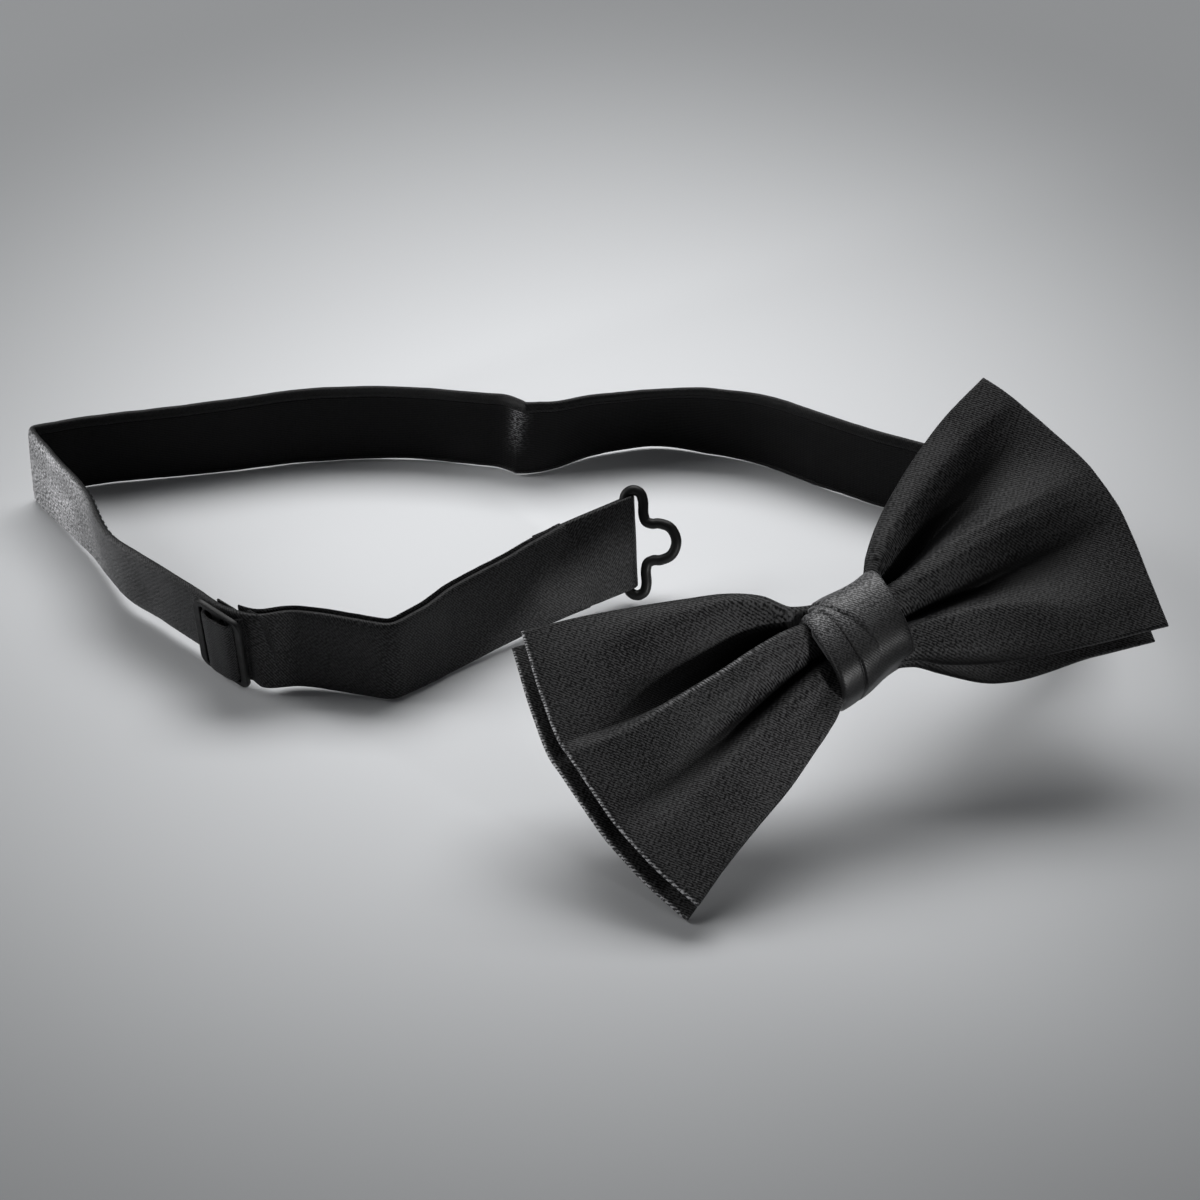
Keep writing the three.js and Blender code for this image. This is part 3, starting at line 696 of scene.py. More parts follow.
def place(strip, a, o):
    """Points of the band's cloth: `a` across and `o` out, each a grid with one row per frame."""
    side = np.sign(a)
    wavy = a + side * smoothstep(np.abs(a), 7, 10) * edge_wave(strip.length[:, None], side)
    off = o + ripple(strip.length, a)
    return (
        strip.middle[:, None]
        + strip.across[:, None] * (wavy * strip.scale[:, None])[..., None]
        + strip.out[:, None] * off[..., None]
    )


def band_layer(name, strip, half, cut, material, slot, low=None, lift=0.0):
    """One layer of the band, of a half section; `cut`, its width when laid flat, is not used."""
    loop = whole_section(dense(half), lift, low and dense(low))
    a = np.repeat(loop[None, :, 0], len(strip.length), 0)
    o = np.repeat(loop[None, :, 1], len(strip.length), 0)
    girth = lengths_along(loop, closed=True)
    made = tube(name, place(strip, a, o), strip.length, girth, sharp=75)
    if half is EDGE:  # the turned-in edges sit in the shade of the top edge
        # Painted shade: the turned-in edges are darkened, as in the shade of the top edge.
        store(made, "depth", 0.85 * smoothstep(-o, -0.2, 0.5))
        # Painted highlight: past the pressed fold at the left the satin is lightened thread by
        # thread, as where it catches the light.
        past = strip.length[:, None] - LEFT_FOLD
        fold_highlight = smoothstep(past, -1.0, 1.5) * (1 - smoothstep(past, 12.0, 58.0))
        fold_highlight = fold_highlight * smoothstep(o, 0.2, 0.8) * (0.50 + 0.25 * noise2(past / 7.0, a / 5.0, 61))
        store(made, "painted_highlight", fold_highlight)
    if half is LINING_EDGE:  # the lining shines where it is dented at the back
        # Painted highlight: a glint painted on the lining where it is dented at the back.
        past = strip.length[:, None] - dent_at(a)
        glint = np.exp(-((past - 1.2) ** 2) / 3.0) * smoothstep(a, -6.0, 5.0)
        glint = glint * smoothstep(-o, 0.7, 0.85) * (0.35 + 0.25 * noise2(past / 2.0, a / 3.0, 62))
        store(made, "painted_highlight", glint)
    return dress(made, material)


STITCH_PITCH = 2.3


def stitch_row(name, strip, a, o, length=1.5, radius=0.13):
    """Short threads along the band, a little apart."""
    vertices, faces, uv = [], [], []
    sides, rings, side = 6, 5, 0.14
    turns = 2 * math.pi * np.arange(sides)[:, None] / sides
    for start in np.arange(strip.length[0] + 1, strip.length[-1] - 2, STITCH_PITCH):
        at = start + np.linspace(0, length, rings)
        middle, across, out = (
            interpolated(at, strip.length, rows) for rows in (strip.middle, strip.across, strip.out)
        )
        off = o + ripple(at, np.full((rings, 1), a))[:, 0]
        bow = np.sin(np.linspace(0, math.pi, rings))
        centre = middle + across * a + out * (off - 0.10 + 0.10 * bow)[:, None]
        size = radius * (0.35 + 0.65 * bow)
        base = len(vertices)
        around = np.cos(turns) * across[:, None] + np.sin(turns) * out[:, None]
        vertices += list((centre[:, None] + size[:, None, None] * around).reshape(-1, 3))
        for k in range(rings - 1):
            one, two = base + k * sides, base + (k + 1) * sides
            for q in range(sides):
                n = (q + 1) % sides
                faces.append((one + q, one + n, two + n, two + q))
                low, high = q * side, (q + 1) * side
                uv += [(at[k], low), (at[k], high), (at[k + 1], high), (at[k + 1], low)]
        for ring, order in ((0, 1), (rings - 1, -1)):
            faces.append(tuple(base + ring * sides + q for q in range(sides)[::order]))
            uv += [(at[ring], 0.0)] * sides
    made = add_object(name, vertices, faces, uv)
    return dress(made, THREAD)


def follow(obj, run):
    if run == "right":
        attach(obj, RIGHT_BODY)
    else:
        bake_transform(obj)


RUNS = {
    "right": (0.0, SPLIT_RIGHT),
    "back": (SPLIT_RIGHT, SPLIT_LEFT),
    "left": (SPLIT_LEFT, SPLIT_FRONT),
    "front": (SPLIT_FRONT, BAND_END - 13.0),
}
OWNERS = {"right": ["band_right"], "back": ["band_left"], "front": ["band_front", "band_end"]}
LAYERS = {  # half section, width laid flat, material, slot, and lower half section
    "cover": (EDGE, 24.4, BAND_SATIN, "satin", LOW_EDGE),
    "lining": (LINING_EDGE, 16.6, LINING, "lining", LOW_LINING),
    "interlining": (CORE_EDGE, 18.0, FELT, "interlining"),
}
for run, (low, high) in RUNS.items():
    strip = BAND.part(low, high)
    for part, settings in LAYERS.items():
        name = f"neckband_{run}" if part == "cover" else f"neckband_{run}_{part}"
        layer = band_layer(name, strip, *settings)
        follow(layer, run)
        for owner in OWNERS.get(run, []):
            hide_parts(f"{owner}_{part}")
    follow(stitch_row(f"neckband_{run}_seam", strip, 8.55, -1.0), run)

# The band's layer that comes back on the inside, from the clasp to behind the slider.
back_layer = BAND.part(SLIDER_AT + 3.5, BAND_END - 13.5)
return_strap = band_layer(
    "return_strap", back_layer, RETURN_EDGE, 19.4, BAND_SATIN, "satin", lift=0.5
)
follow(return_strap, "front")
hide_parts("return_strap_front", "return_strap_end")


# ---- the bow
# Each wing is gathered at the waist into a middle ridge between two valleys, with a lower fold.
# Tables hold one row per fold, from the top edge down, and one column per station along the wing.
STATIONS = [0, 9, 13, 19, 27, 36, 46, 59]
FOLD_V = np.array([1.0, 0.62, 0.30, 0.17, 0.0, -0.15, -0.30, -0.50, -0.72, -1.0])
LEFT_Y = np.array([
    [5.5, 8.6, 13.6, 18, 21.8, 25.6, 29.2, 32.8],
    [4.2, 7.4, 11.4, 15.4, 17.9, 20.4, 22.6, 24.5],
    [2, 4.9, 5.4, 5.3, 4.9, 5, 5.6, 8.5],
    [0.8, 3.6, 3.9, 3.7, 3.1, 2.9, 2.7, 4.5],
    [-1, 1.4, 1.5, 1, 0.2, -0.6, -1.4, -1.2],
    [-2.8, -1, -1.2, -2, -3, -4.4, -5.8, -7],
    [-4.6, -3.2, -3.6, -4.8, -6.4, -8.4, -10.6, -12.5],
    [-6.6, -6.2, -7.2, -9, -11.2, -14, -17, -20],
    [-8.6, -9.6, -11.4, -13.8, -16.6, -19.8, -23.4, -27.5],
    [-10.5, -13.4, -16.2, -19, -22.6, -25.8, -29.6, -35.3],
])
LEFT_Z = np.array([
    [0, 1.5, 2.2, 1.2, 0.4, 0, 0, 0],
    [0.6, 2.4, 3.6, 3.2, 2.2, 1.4, 0.7, 0.2],
    [-1.5, -3.6, -4.4, -4.6, -4.2, -3.2, -1.3, 0],
    [0.7, 2.5, 3.1, 3.5, 3.5, 3.1, 2.2, 0.5],
    [1.4, 2.9, 3.2, 3.3, 3, 2.4, 1.5, 0.4],
    [0.6, 1.2, 1.3, 1.2, 1, 0.8, 0.6, 0.2],
    [-1.6, -2.8, -3.4, -3.5, -3, -2.1, -1, 0],
    [0.3, 0.3, 0.5, 0.6, 0.5, 0.4, 0.3, 0.1],
    [0, -0.5, -0.8, -0.8, -0.5, -0.2, 0, 0],
    [-0.6, 0, 0.2, 0, -0.2, -0.3, -0.2, 0],
])
RIGHT_Y = np.array([
    [5.5, 6.2, 10.6, 15.2, 20.2, 24.6, 28.6, 32.1],
    [4.2, 5.6, 8.6, 12, 15.6, 19, 22.6, 25.5],
    [2, 3, 3.2, 4.9, 7.8, 10.7, 14.6, 18.5],
    [0.8, 1.5, 1.6, 2, 2.7, 2.8, 2.3, 2.2],
    [-1, -0.5, -0.5, -0.4, 0, 0, -0.6, -1],
    [-3.2, -2.7, -2.9, -3.1, -3.2, -3.6, -4.4, -5.2],
    [-5.2, -4.9, -5.1, -5.7, -6.6, -7.6, -9, -10.5],
    [-8, -8.4, -9.1, -10.6, -13.4, -18, -23, -24.5],
    [-9.3, -11.2, -12.8, -15.6, -18.6, -23, -28, -30],
    [-10.5, -13.8, -17, -20.6, -24.4, -27.6, -30.8, -34.5],
])
RIGHT_Z = np.array([
    [0, 1.5, 2.6, 1.4, 0.5, 0, 0, 0],
    [0.6, 2.8, 4, 3.4, 2.2, 1.3, 0.7, 0.2],
    [-1.5, -3.6, -4.6, -5, -4.8, -3.7, -1.9, -0.1],
    [0.5, 1.8, 2.5, 3.1, 3.3, 3.1, 2.2, 0.5],
    [1.4, 2.9, 3.4, 3.8, 3.7, 3.2, 2, 0.5],
    [0.6, 1.3, 1.4, 1.4, 1.2, 1, 0.6, 0.2],
    [-1.6, -3, -3.6, -3.6, -3, -2.3, -1.4, 0],
    [0.3, 0.9, 1.6, 2.2, 2.4, 1.6, 0.7, 0.1],
    [0, 0.8, 1.4, 1.7, 1.3, 0.7, 0.2, 0],
    [-0.6, -1.2, -1.6, -1.4, -1, -0.5, -0.2, 0],
])
# How far the wings' ends reach, by height up the wing.
LEFT_END = ([-35.3, -21.3, -9, 6.8, 17.9, 32.8], [60.1, 63.9, 65.4, 65.7, 63.7, 59.4])
RIGHT_END = (
    [-34.5, -24, -14.7, -5.7, 2.3, 15.8, 27.8, 32.1],
    [59.3, 61.8, 64.2, 65.6, 65.4, 62.7, 59, 57.2],
)
CORNER = 59.0  # the last station, at the corners of a wing's end
LAYER, CORE_LAYER = 2.0, 0.8  # thickness of a bow layer and of the stiffener inside it
EDGE_RADIUS = 0.9

edge_steps = np.array([0.0, 0.04, 0.13, 0.28, 0.5, 0.8, 1.2])
BOW_X = np.concatenate([edge_steps - CORNER, np.linspace(-57, 57, 165), CORNER - edge_steps[::-1]])
rim = np.array([0.0, 0.001, 0.004, 0.009, 0.016, 0.026, 0.04])
BOW_V = np.concatenate([rim - 1, np.linspace(-0.94, 0.94, 141), 1 - rim[::-1]])


def bow_surface(lower):
    """The middle surface of a bow layer: x, y and z grids in the bow's frame."""
    grids = []
    v_up = FOLD_V[::-1]
    wings = ((-1, LEFT_Y, LEFT_Z, LEFT_END), (1, RIGHT_Y, RIGHT_Z, RIGHT_END))
    for side, y_table, z_table, end in wings:
        stations = np.abs(BOW_X[BOW_X < 0 if side < 0 else BOW_X >= 0])
        reach = pchip(*end, pchip(v_up, y_table[::-1, -1], BOW_V))
        along = [pchip(STATIONS, table.T, stations)[:, ::-1] for table in (y_table, z_table)]
        y, z = (pchip(v_up, rows.T, BOW_V).T for rows in along)
        grids.append((side * stations[:, None] / CORNER * reach, y, z))
    x, y, z = np.concatenate(grids, axis=1)
    station, v = np.meshgrid(np.abs(BOW_X), BOW_V, indexing="ij")
    seed = 50 if lower else 40
    gathers = np.exp(-np.maximum(station - 9, 0) / 10.0)
    z = z + 0.12 * gathers * noise2(v * 11, x / 13.0, seed)
    z = z + 0.015 * gathers * noise2(v * 27, x / 9.0, seed + 1)
    z = z + 0.22 * smoothstep(station, 12, 30) * noise2(x / 14.0, y / 9.0, seed + 2)
    z = z + 0.03 * noise2(x / 5.0, y / 5.0, seed + 3)
    if lower:
        z = z - (3.4 + 4.1 * smoothstep(station, 10.9, 24))
        x = x - 1.4 * station / CORNER
        bulge = hump(station, 27, 19) * (x > 0) * smoothstep(-v, 0.6, 1.0)
        y = y - 1.9 * bulge
    return x, y, z


def painted_fold_shade(y, z):
    """How much painted shade each point gets, 0 to 1, by how deep it lies in a fold, where the
    cloth's folds would shut out the light.
    """
    depth = np.zeros_like(z)
    for reach, low, high, most in ((3.5, 0.1, 1.5, 1.0), (9.0, 0.0, 2.0, 0.9)):
        for k in range(len(z)):
            apart = y[k][:, None] - y[k][None]
            weight = np.exp(-(apart**2) / (2 * reach**2)) * np.abs(np.gradient(y[k]))[None]
            around = weight @ z[k] / weight.sum(1)
            depth[k] = np.maximum(depth[k], most * smoothstep(around - z[k], low, high))
    return depth


def bow_layer(name, node, lower, thickness, shrink, material, slot):
    """One layer of the bow, `shrink` smaller all round, which stands for a CAD node."""
    x, y, z = bow_surface(lower)
    p = np.stack([x, y, z], -1)
    normal = unit(np.cross(np.gradient(p, axis=0), np.gradient(p, axis=1)))
    normal = unit(normal * np.sign(normal[..., 2:3]) + [0, 0, 0.6])
    heights = np.abs(y[:, -1] - y[:, 0]) / 2
    from_edge = (1 - np.abs(BOW_V))[None] * heights[:, None]
    from_end = (CORNER - np.abs(BOW_X))[:, None] + 0 * from_edge
    edge = np.clip(np.minimum(from_edge, from_end) / EDGE_RADIUS, 0, 1)
    round_off = np.sqrt(np.maximum(1 - (1 - edge) ** 2, 0))
    p[..., 0] *= 1 - shrink / 62.0
    p[..., 1] *= (1 - shrink / np.maximum(heights, 8.0))[:, None]
    offset = normal * (thickness / 2 * round_off)[..., None]
    made = pillow(name, in_bow(p + offset), in_bow(p - offset), x, y)
    if material is SATIN:
        back = np.zeros(len(made.data.vertices) - x.size)
        # Painted shade, darkest at the bottom of the folds.
        store(made, "depth", np.append(painted_fold_shade(y, z), back))
        # Painted highlights: pressed edges are lightened, the wings' ends and the crisp line along
        # the left wing's ridge, more strongly on the left wing.
        painted_highlight = (1 - smoothstep(from_end, 0.1, 0.42)) * np.where(x < 0, 1.3, 0.45)
        if not lower:
            painted_highlight = np.maximum(painted_highlight, 0.5 * hump(BOW_V, 0.172, 0.012) * hump(x, -30.0, 22.0))
        store(made, "painted_highlight", np.append(painted_highlight, back))
    stand_for(made, RIGHT_BODY, node)
    dress(made, material)


bow_layer("upper_bow", "upper_bow_cover", False, LAYER, 0.0, SATIN, "satin")
bow_layer("lower_bow", "lower_bow_cover", True, LAYER, 0.0, SATIN, "satin")
CORE = (CORE_LAYER, 1.3, FELT, "interlining")
bow_layer("upper_bow_interlining", "upper_bow_stiffener", False, *CORE)
bow_layer("lower_bow_interlining", "lower_bow_stiffener", True, *CORE)

# ---- the knot
# A satin wrap with two pressed folds across its front, that lean to the lower left.
FOLD_1 = ([-12.2, -7.8, -3.4, 0.9, 4.0, 6.5, 9.0], [-5.6, -4.2, -3.7, -3.6, -3.9, -4.6, -6.5])
FOLD_2 = ([-12.2, -7.8, -4.0, -1.0, 2.0, 4.8, 9.0], [1.4, 1.2, 0.9, 0.5, -0.4, -2.0, -4.4])
KNOT_HALF_WIDTH = 9.5
knot_rim = np.array([-1, -0.985, -0.95, -0.9])
knot_t = np.concatenate([knot_rim, np.linspace(-0.85, 0.85, 150), -knot_rim[::-1]])
knot_angles = np.linspace(0, 2 * math.pi, 121)[:-1]


def knot():
    loops, pressed = [], []
    around = np.stack([np.cos(knot_angles), np.sin(knot_angles)], 1)
    power, radii = 0.62, [9.25, 8.4]  # a ring between an ellipse and a rectangle
    ring_y, ring_z = (np.sign(around) * np.abs(around) ** power * radii + [0, -2.55]).T
    normal_y, normal_z = unit(np.sign(around) * np.abs(around) ** (2 - power) / radii).T
    for y, z, ny, nz in zip(ring_y, ring_z, normal_y, normal_z):
        front = float(smoothstep(nz, -0.3, 0.35))
        middle = 0.3 + 0.10 * y * front
        x = middle + KNOT_HALF_WIDTH * knot_t
        along = 3.0 * y + z
        rise, shade = 0.0 * x, 0.0 * x
        for fold, lift in ((FOLD_1, 0.55), (FOLD_2, 0.5 * float(smoothstep(y, -7, 0)))):
            past = x - float(pchip(*fold, y))
            sinks = np.maximum(1 - 0.06 * np.maximum(past, 0), 0.2)
            rise = rise + smoothstep(past, -0.10, 0.14) * lift * sinks
            rise = rise - 0.30 * lift * np.exp(-((past + 0.26) ** 2) / 0.05)
            # painted shade in the groove at the foot of each fold
            shade = np.maximum(shade, 1.8 * lift * front * np.exp(-((past + 0.22) ** 2) / 0.07))
        edge = np.clip((1 - np.abs(knot_t)) * KNOT_HALF_WIDTH / 0.45, 0, 1)
        edge = np.sqrt(1 - (1 - edge) ** 2)
        crown = 0.35 * nz * (1 - (y / 10) ** 2) if nz > 0 else 0.0
        soft = 0.07 * noise2(x / 5.0, along / 9.0, 70) + 0.02 * noise2(x / 1.6, along / 12.0, 71)
        soft = soft - 0.7 * ny**2 * hump(knot_t, 0.4, 0.75)
        draw_in = 0.35 * np.abs(knot_t) ** 9
        outer = 0.15 + 0.85 * edge + (rise * front + soft + crown) * edge - draw_in
        inner = 0.1 - draw_in[::-1]
        tip = 0.10 * x
        top = np.stack([x, y + tip + ny * outer, z + nz * outer], -1)
        below = np.stack([x[::-1], y + tip[::-1] + ny * inner, z + nz * inner], -1)[6:-6:6]
        loops.append(np.vstack([top, below]))
        # the painted shade of the folds, on the knot's outer face only
        pressed.append(np.append(np.minimum(shade, 1.0), np.zeros(len(below))))
    loops = np.array(loops)
    loops[..., 1] -= WAIST_DROP + 0.8
    ring = lengths_along(np.stack([ring_y, ring_z], 1), closed=True)
    girth = lengths_along(loops[15], closed=True)
    made = tube("knot", in_bow(loops), ring, girth, closed_rows=True, sharp=70)
    # Painted light: the upper half of the knot gets a painted highlight and its lower half painted
    # shade, as if light fell from above.
    lit = 0.38 * smoothstep(ring_y, -1.0, 7.0) * smoothstep(normal_z, -0.3, 0.35)
    store(made, "painted_highlight", np.repeat(lit, loops.shape[1]))
    store(made, "depth", np.maximum(0.75 * smoothstep(-ring_y, -2.0, 6.0)[:, None], pressed))
    dress(made, KNOT_SATIN)
    stand_for(made, RIGHT_BODY, "knot_wrap")


knot()


# ---- folded ends of strap
SHORTEST_SHEET = 10.0  # pieces of cloth longer than this get a flat size


def band_basis(station, along):
    """Origin and axes of a frame: x along the band, y up it and z out of its satin side."""
    low, high = station
    across = unit(high - low)
    out = unit(np.cross(along, across))
    return (low + high) / 2 + [0, SHIFT_Y, 0], np.stack([np.cross(across, out), across, out], 1)


def in_frame(basis, points):
    origin, axes = basis
    return np.asarray(points, float) @ axes.T + origin


def folded_strap(
    name, basis, path, half_width, thickness, slope=0.0, lift=0.0, skew=0.0,
    taper=(0.0, 0.0, 1.0), shear=0.0,
):
    """A strip of cloth whose middle follows a path of (x, z), with rounded edges. `slope` slants
    it, `lift` moves its inner leg up the band, `skew` slants its outer leg, and it narrows by the
    first number of `taper`, and is sheared, from one distance behind the bar to another."""
    fine = catmull([(x, z, 0) for x, z in path], np.linspace(0, 1, 12 * len(path)))
    x, z = fine[:, 0], fine[:, 1]
    tangent = unit(np.gradient(fine, axis=0))
    t, w = thickness / 2, half_width
    flat = [(k, t) for k in np.linspace(w - 0.9, 0.9 - w, 24)]
    side = [(w - 0.5, t * 0.96), (w - 0.2, t * 0.75), (w, 0)]
    side += [(a, -o) for a, o in side[1::-1]]
    face = np.array(flat + [(-a, o) for a, o in side])
    loop = np.vstack([face, -face])
    lengths = lengths_along(fine)
    rows = []
    for k in range(len(x)):
        far = smoothstep(-x[k], *taper[1:])
        a = loop[:, 0] * (1 - taper[0] * far)
        o = loop[:, 1] + 0.07 * noise2(lengths[k] / 5.0, a / 6.0, 81)
        leaning = skew * smoothstep(z[k], 0.9, 2.2) - shear * far
        up = a + slope * x[k] + lift * smoothstep(-z[k], 1.0, 2.4)
        back, out = x[k] - tangent[k, 1] * o + leaning * a, z[k] + tangent[k, 0] * o
        rows.append(np.stack([back, up, out], -1))
    girth = lengths_along(loop, closed=True)
    made = tube(name, in_frame(basis, np.array(rows)), lengths, girth, sharp=75)
    if lengths[-1] > SHORTEST_SHEET:
        flat = (2 * half_width * MM, lengths[-1] * MM)
    return dress(made, BAND_SATIN)


def half_turn(centre, radius, count=7):
    """Points round a bar at x = 0, from above it to below it."""
    angles = np.linspace(math.pi / 2, -math.pi / 2, count)
    return [(radius * math.cos(a), centre + radius * math.sin(a)) for a in angles]


def threads(name, basis, segments, radius=0.16):
    """Short threads between pairs of points in a frame, in one piece."""
    pieces = []
    t = np.linspace(0, 1, 5)[:, None]
    for a, b in np.array(segments, float):
        path = a + (b - a) * t + [0, 0, 0.12] * np.sin(math.pi * t) * np.sign(a[2])
        pieces.append(wire(name, in_frame(basis, path), radius, sides=6))
    made = joined(name, pieces)
    return dress(made, THREAD)


def bar_tack(x, z, half_length, width=1.5, pitch=0.55):
    """The threads of a zigzag across the band."""
    ys = np.linspace(-half_length, half_length, int(2 * half_length / pitch))
    left, right = x - width / 2, x + width / 2
    there = [((left, y, z), (right, y + pitch / 2, z)) for y in ys]
    return there + [((right, y + pitch / 2, z), (left, y + pitch, z)) for y in ys[:-1]]


clasp_station = on_end_line(0)
clasp_basis = band_basis(clasp_station, END_DIRECTION)
slant = float(END_DIRECTION @ unit(clasp_station[1] - clasp_station[0]))
BAR_OUT = -0.55
outer_leg = [(-15, 0.45), (-13.5, 0.66), (-10, 0.92), (-6, 1.18), (-3, 1.40)]
inner_leg = [(-3, -2.70), (-6, -2.72), (-10, -2.74), (-15, -2.74), (-19.5, -2.74)]
clasp_fold = folded_strap(
    "clasp_fold_cloth", clasp_basis, outer_leg + half_turn(BAR_OUT - 0.06, 2.03) + inner_leg,
    10.35, 0.62, slope=slant, lift=-0.45, taper=(0.083, 6.0, 13.5), shear=0.275,
)
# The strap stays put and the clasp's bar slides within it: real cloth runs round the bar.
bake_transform(clasp_fold)
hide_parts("clasp_fold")

CLASP_UPPER = [
    (0, 0.3), (0, 5), (0, 9.4), (0.6, 11.1), (2.1, 11.8), (3.6, 11.1), (4.2, 9.4), (4.2, 6.2),
    (4.7, 4.7), (6, 4.1), (7.6, 4.1), (10.1, 3), (11.3, 0),
]


def bent_wire(upper):
    """A wire's path from its upper half, whose points may leave out z, and its mirror image."""
    points = [(*p, 0.0)[:3] for p in upper]
    points += [(x, -y, z) for x, y, z in points[-2::-1]]
    return catmull(points, np.linspace(0, 1, 300))


clasp_path = bent_wire(CLASP_UPPER) @ turn(1, -30).T + [0, 0, BAR_OUT]
clasp_wire = wire("clasp_wire", in_frame(clasp_basis, clasp_path), 1.18, sides=20)
dress(clasp_wire, ENAMEL)
stand_for(clasp_wire, CLASP, "clasp_loop")

# The catch hangs in a fold of the band's short end, behind the left wing.
catch_basis = (in_bow([-41.5, -WAIST_DROP, -13.6]), BOW_TURN @ turn(1, 180))
catch_legs = [(-11, 1.22), (-7, 1.32), (-3, 1.5)]
catch_path = catch_legs + half_turn(0, 1.55) + [(x, -z) for x, z in catch_legs[::-1]]
catch_fold = folded_strap("catch_fold_cloth", catch_basis, catch_path, 9.97, 0.5)
stand_for(catch_fold, RIGHT_BODY, "catch_fold")
HOOK_UPPER = [
    (0, 0.3), (0, 5), (0, 9.4), (0.7, 11), (2.2, 11.6), (3.9, 10.6), (5.6, 7.6), (7.4, 3.6),
    (9, 1.7), (11, 1.3), (13.5, 1.3), (15.4, 1.3, 0.9), (15.9, 1.3, 2.7), (14.6, 1.3, 4.2),
    (12, 1.3, 4.6), (10.8, 0, 4.7),
]
hook = wire("catch_wire", in_frame(catch_basis, bent_wire(HOOK_UPPER)), 0.8, sides=16)
dress(hook, ENAMEL)
stand_for(hook, CATCH, "catch_hook")
catch_tack = threads("catch_tack", catch_basis, bar_tack(-8, 1.72, 7.5))
stand_for(catch_tack, RIGHT_BODY, "catch_bar_tack")
knot_basis = (in_bow([0, -WAIST_DROP, 0]), BOW_TURN)
knot_tack = threads("knot_tack", knot_basis, bar_tack(0, -12.15, 7.5, width=2.4))
stand_for(knot_tack, RIGHT_BODY, "knot_back_tack")

# ---- the adjuster
slider_basis = band_basis(on_slide_line(0), SLIDE_DIRECTION)
PLATE = 1.2  # the plate's thickness
BAR_CENTRE = 2.0 + PLATE / 2  # out from the band's middle
ASKEW = math.tan(math.radians(10))  # the slider sits a little askew on the strap


def rounded_rectangle(width, height, radius, middle=0.0, steps=6):
    points = []
    for cx, cy, start in ((1, 1, 0), (-1, 1, 90), (-1, -1, 180), (1, -1, 270)):
        for k in range(steps + 1):
            a = math.radians(start + 90 * k / steps)
            x = middle + cx * (width / 2 - radius) + radius * math.cos(a)
            points.append((x, cy * (height / 2 - radius) + radius * math.sin(a)))
    return points


def pressed_plate(name, outlines, thickness, bevel):
    """The mesh of a flat plate with holes and rounded edges, from its outlines, about z = 0."""
    curve = bpy.data.curves.new(name, "CURVE")
    curve.dimensions = "2D"
    curve.fill_mode = "BOTH"
    curve.extrude = thickness / 2 - bevel
    curve.bevel_depth = bevel
    curve.bevel_resolution = 3
    curve.offset = -bevel
    for outline in outlines:
        spline = curve.splines.new("POLY")
        spline.points.add(len(outline) - 1)
        for point, (x, y) in zip(spline.points, outline):
            point.co = (x, y, 0, 1)
        spline.use_cyclic_u = True
    holder = in_scene(name, curve)
    bpy.context.view_layer.update()
    flattened = holder.evaluated_get(bpy.context.evaluated_depsgraph_get())
    mesh = bpy.data.meshes.new_from_object(flattened)
    bpy.data.objects.remove(holder)
    return mesh


slots = [rounded_rectangle(3.8, 19.4, 0.9, middle) for middle in (3.1, -3.1)]
plate_mesh = pressed_plate("slider_plate", [rounded_rectangle(14, 22, 2.5), *slots], PLATE, 0.3)
plate = np.array([v.co for v in plate_mesh.vertices]) @ (turn(1, 5) @ turn(2, -10)).T
plate = in_frame(slider_basis, plate + [0, 0.3, BAR_CENTRE])
for vertex, co in zip(plate_mesh.vertices, plate * MM):
    vertex.co = co
plate_mesh.shade_smooth()
plate_mesh.set_sharp_from_angle(angle=math.radians(35))
slider_plate = dress(in_scene("slider_plate", plate_mesh), ENAMEL)
stand_for(slider_plate, ADJUSTER, "slider")

hump_up = [
    (-10.5, 0.45), (-8.5, 0.72), (-6.6, 0.80), (-5.4, 1.05), (-4.75, 1.75), (-4.45, 2.7),
    (-3.9, 3.55), (-2.6, 3.92),
]
hump_down = [(-x, z) for x, z in hump_up[:2:-1]] + [(6.0, 0.5), (6.8, -0.1)]
hump_path = hump_up + [(0.0, 4.0)] + hump_down
over_slider = folded_strap(
    "band_over_slider_cloth", slider_basis, hump_path, 9.3, 0.66, skew=ASKEW
)
stand_for(over_slider, ADJUSTER, "band_over_slider")
above, below = BAR_CENTRE + 0.8, BAR_CENTRE - 0.8
tail_path = [(-1.5, above), (-0.7, above), *half_turn(BAR_CENTRE, 0.8)]
tail_path = [(x + 1.2, z) for x, z in tail_path + [(-0.7, below), (-1.5, below)]]
tail_loop = folded_strap("tail_loop_cloth", slider_basis, tail_path, 9.0, 0.28, skew=ASKEW)
stand_for(tail_loop, ADJUSTER, "tail_loop")
tail_end = folded_strap(
    "tail_end_cloth", slider_basis, [(-5, -2.6), (-1, -2.64), (4, -2.64), (8, -2.75), (11, -3.0)],
    9.8, 0.6, taper=(0.3, -7, -2.5),
)
stand_for(tail_end, ADJUSTER, "tail_end")
tail_tack = threads("tail_tack", slider_basis, bar_tack(1.5, -2.98, 6.0))
stand_for(tail_tack, ADJUSTER, "tail_bar_tack")

# CAD pieces that stay as they are, inside the knot.
dress(NODES["waist_thread"], THREAD)
dress(NODES["knot_padding"], FELT)

# ---- floor, light and camera
FLOOR = 3.0  # half its width
LOWEST = 0.0004  # the cloth reaches this far below the CAD
floor_mesh = bpy.data.meshes.new("floor")
corners = [(-FLOOR, -FLOOR, 0), (FLOOR, -FLOOR, 0), (FLOOR, FLOOR, 0), (-FLOOR, FLOOR, 0)]
floor_mesh.from_pydata(corners, [], [(0, 1, 2, 3)])
floor = in_scene("floor", floor_mesh)
floor.location = (0, 0, min(cad_low[2], 0.0) - LOWEST)
# Painted light: the floor's colour is a painted pool of light, light in the middle and grey at the
# rim.
paper = Graph("pale_paper_painted_light_pool")  # it fades from light in the middle to grey at the rim
spot = paper.add("ShaderNodeTexCoord").outputs["Object"]


def vector_math(operation, *values):
    return paper.add("ShaderNodeVectorMath", dict(enumerate(values)), operation=operation).outputs


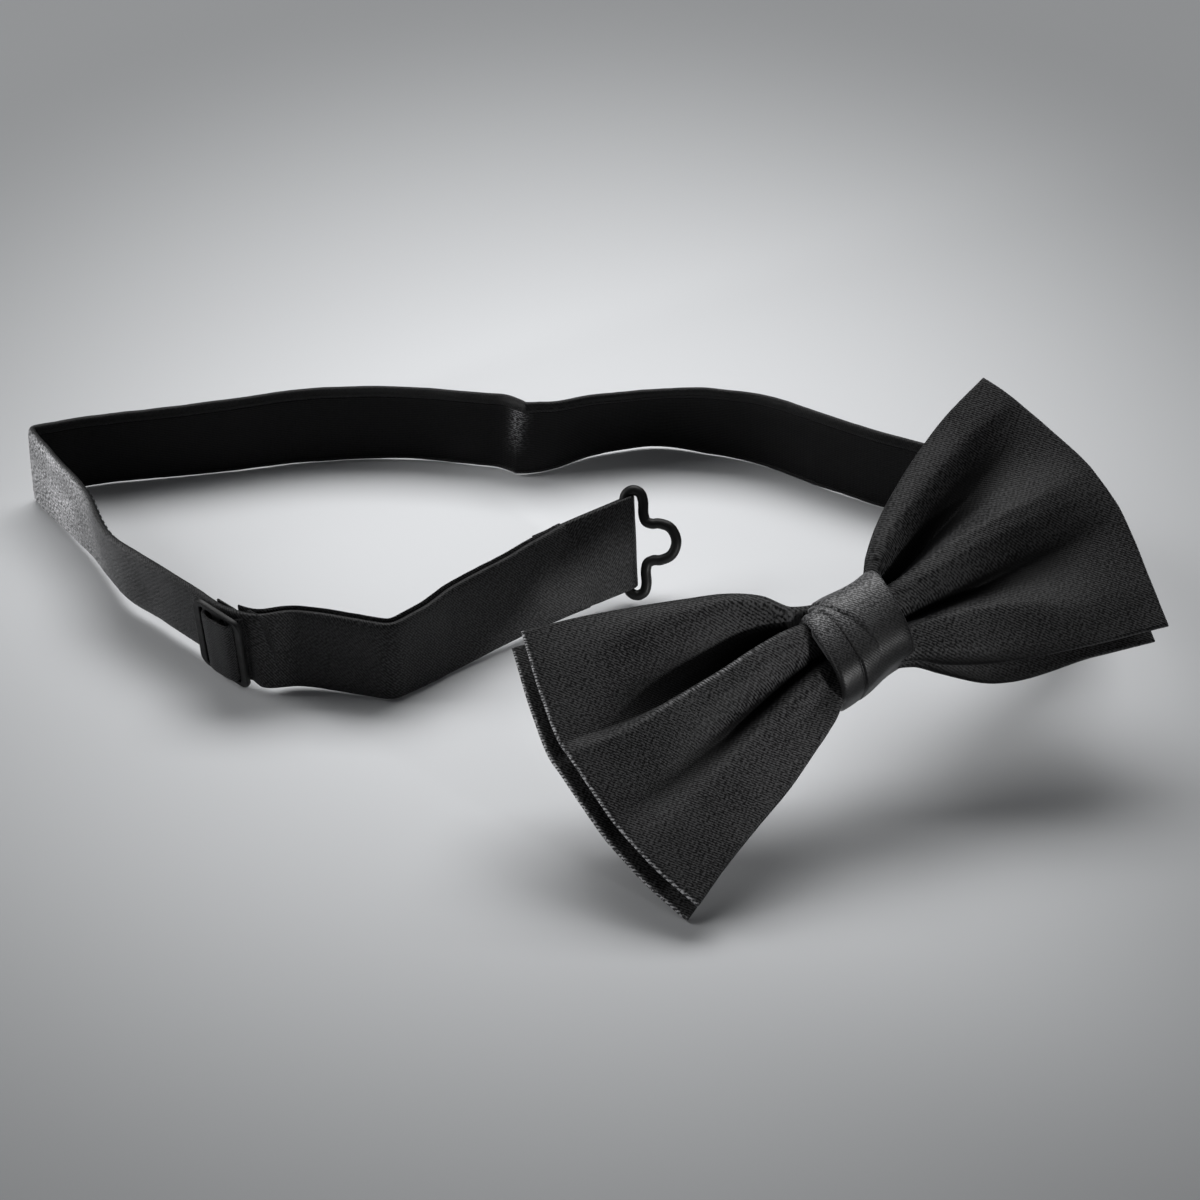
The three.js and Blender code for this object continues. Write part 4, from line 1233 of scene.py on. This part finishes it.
from_middle = vector_math("SUBTRACT", spot, (0.006, 0.05, 0.0))[0]
reach = vector_math("LENGTH", vector_math("MULTIPLY", from_middle, (1.0, 0.8, 1.0))[0])["Value"]
light_pool = paper.add(
    "ShaderNodeMapRange", {"Value": reach, 1: 0.02, 2: 0.24}, interpolation_type="SMOOTHSTEP"
).outputs[0]
paper.set(
    Base_Color=paper.mixed(light_pool, (0.68, 0.69, 0.705), (0.222, 0.227, 0.232)),
    Roughness=0.8,
    Specular_IOR_Level=0.1,
)
dress(floor, paper.material)
floor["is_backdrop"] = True


def lamp(kind, name, location, target, power, **settings):
    """A light that points at a target."""
    light = bpy.data.lights.new(name, kind)
    light.energy = power
    for key, value in settings.items():
        setattr(light, key, value)
    made = in_scene(name, light)
    made.location = location
    direction = np.array(target, float) - np.array(location, float)
    made.rotation_euler = mathutils.Vector(direction).to_track_quat("-Z", "Y").to_euler()


for name, location, target, size, size_y, power in (
    ("overhead", (0.05, 0.50, 0.90), (0, 0.02, 0), 0.9, 0.6, 11),
    ("left", (-0.75, 0.08, 0.42), (-0.02, 0.03, 0.02), 0.35, 0.4, 3.0),
    ("front", (0.60, -0.75, 0.45), (0, 0, 0), 0.6, 0.6, 0.5),
):
    lamp("AREA", name, location, target, power, shape="RECTANGLE", size=size, size_y=size_y)
for name, location, target, power, cone in (
    ("fold", (-0.60, -0.22, 0.022), (-0.118, 0.052, 0.013), 34, 12),
    ("strap", (0.45, -0.50, 0.10), (-0.010, 0.012, 0.014), 15, 10),
    ("edge", (-0.62, -0.42, 0.06), (-0.016, -0.068, 0.03), 5, 9),
):
    cone = math.radians(cone)
    lamp("SPOT", name, location, target, power, spot_size=cone, spot_blend=1, shadow_soft_size=0.03)
world = bpy.data.worlds.new("studio")
world.use_nodes = True
sky = world.node_tree.nodes["Background"].inputs
sky["Color"].default_value = (0.8, 0.82, 0.85, 1)
sky["Strength"].default_value = 0.08
bpy.context.scene.world = world
bpy.context.scene.view_settings.view_transform = "Standard"

TARGET = np.array([0.006, 0.027, 0.0])
ELEVATION = math.radians(34)
DISTANCE = 1.0
lens = bpy.data.cameras.new("camera")
lens.sensor_width = 36
lens.lens = 133.5
camera = in_scene("camera", lens)
camera.location = TARGET + DISTANCE * np.array([0, -math.cos(ELEVATION), math.sin(ELEVATION)])
camera.rotation_euler = (math.pi / 2 - ELEVATION, 0, 0)
bpy.context.scene.camera = camera

low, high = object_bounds()
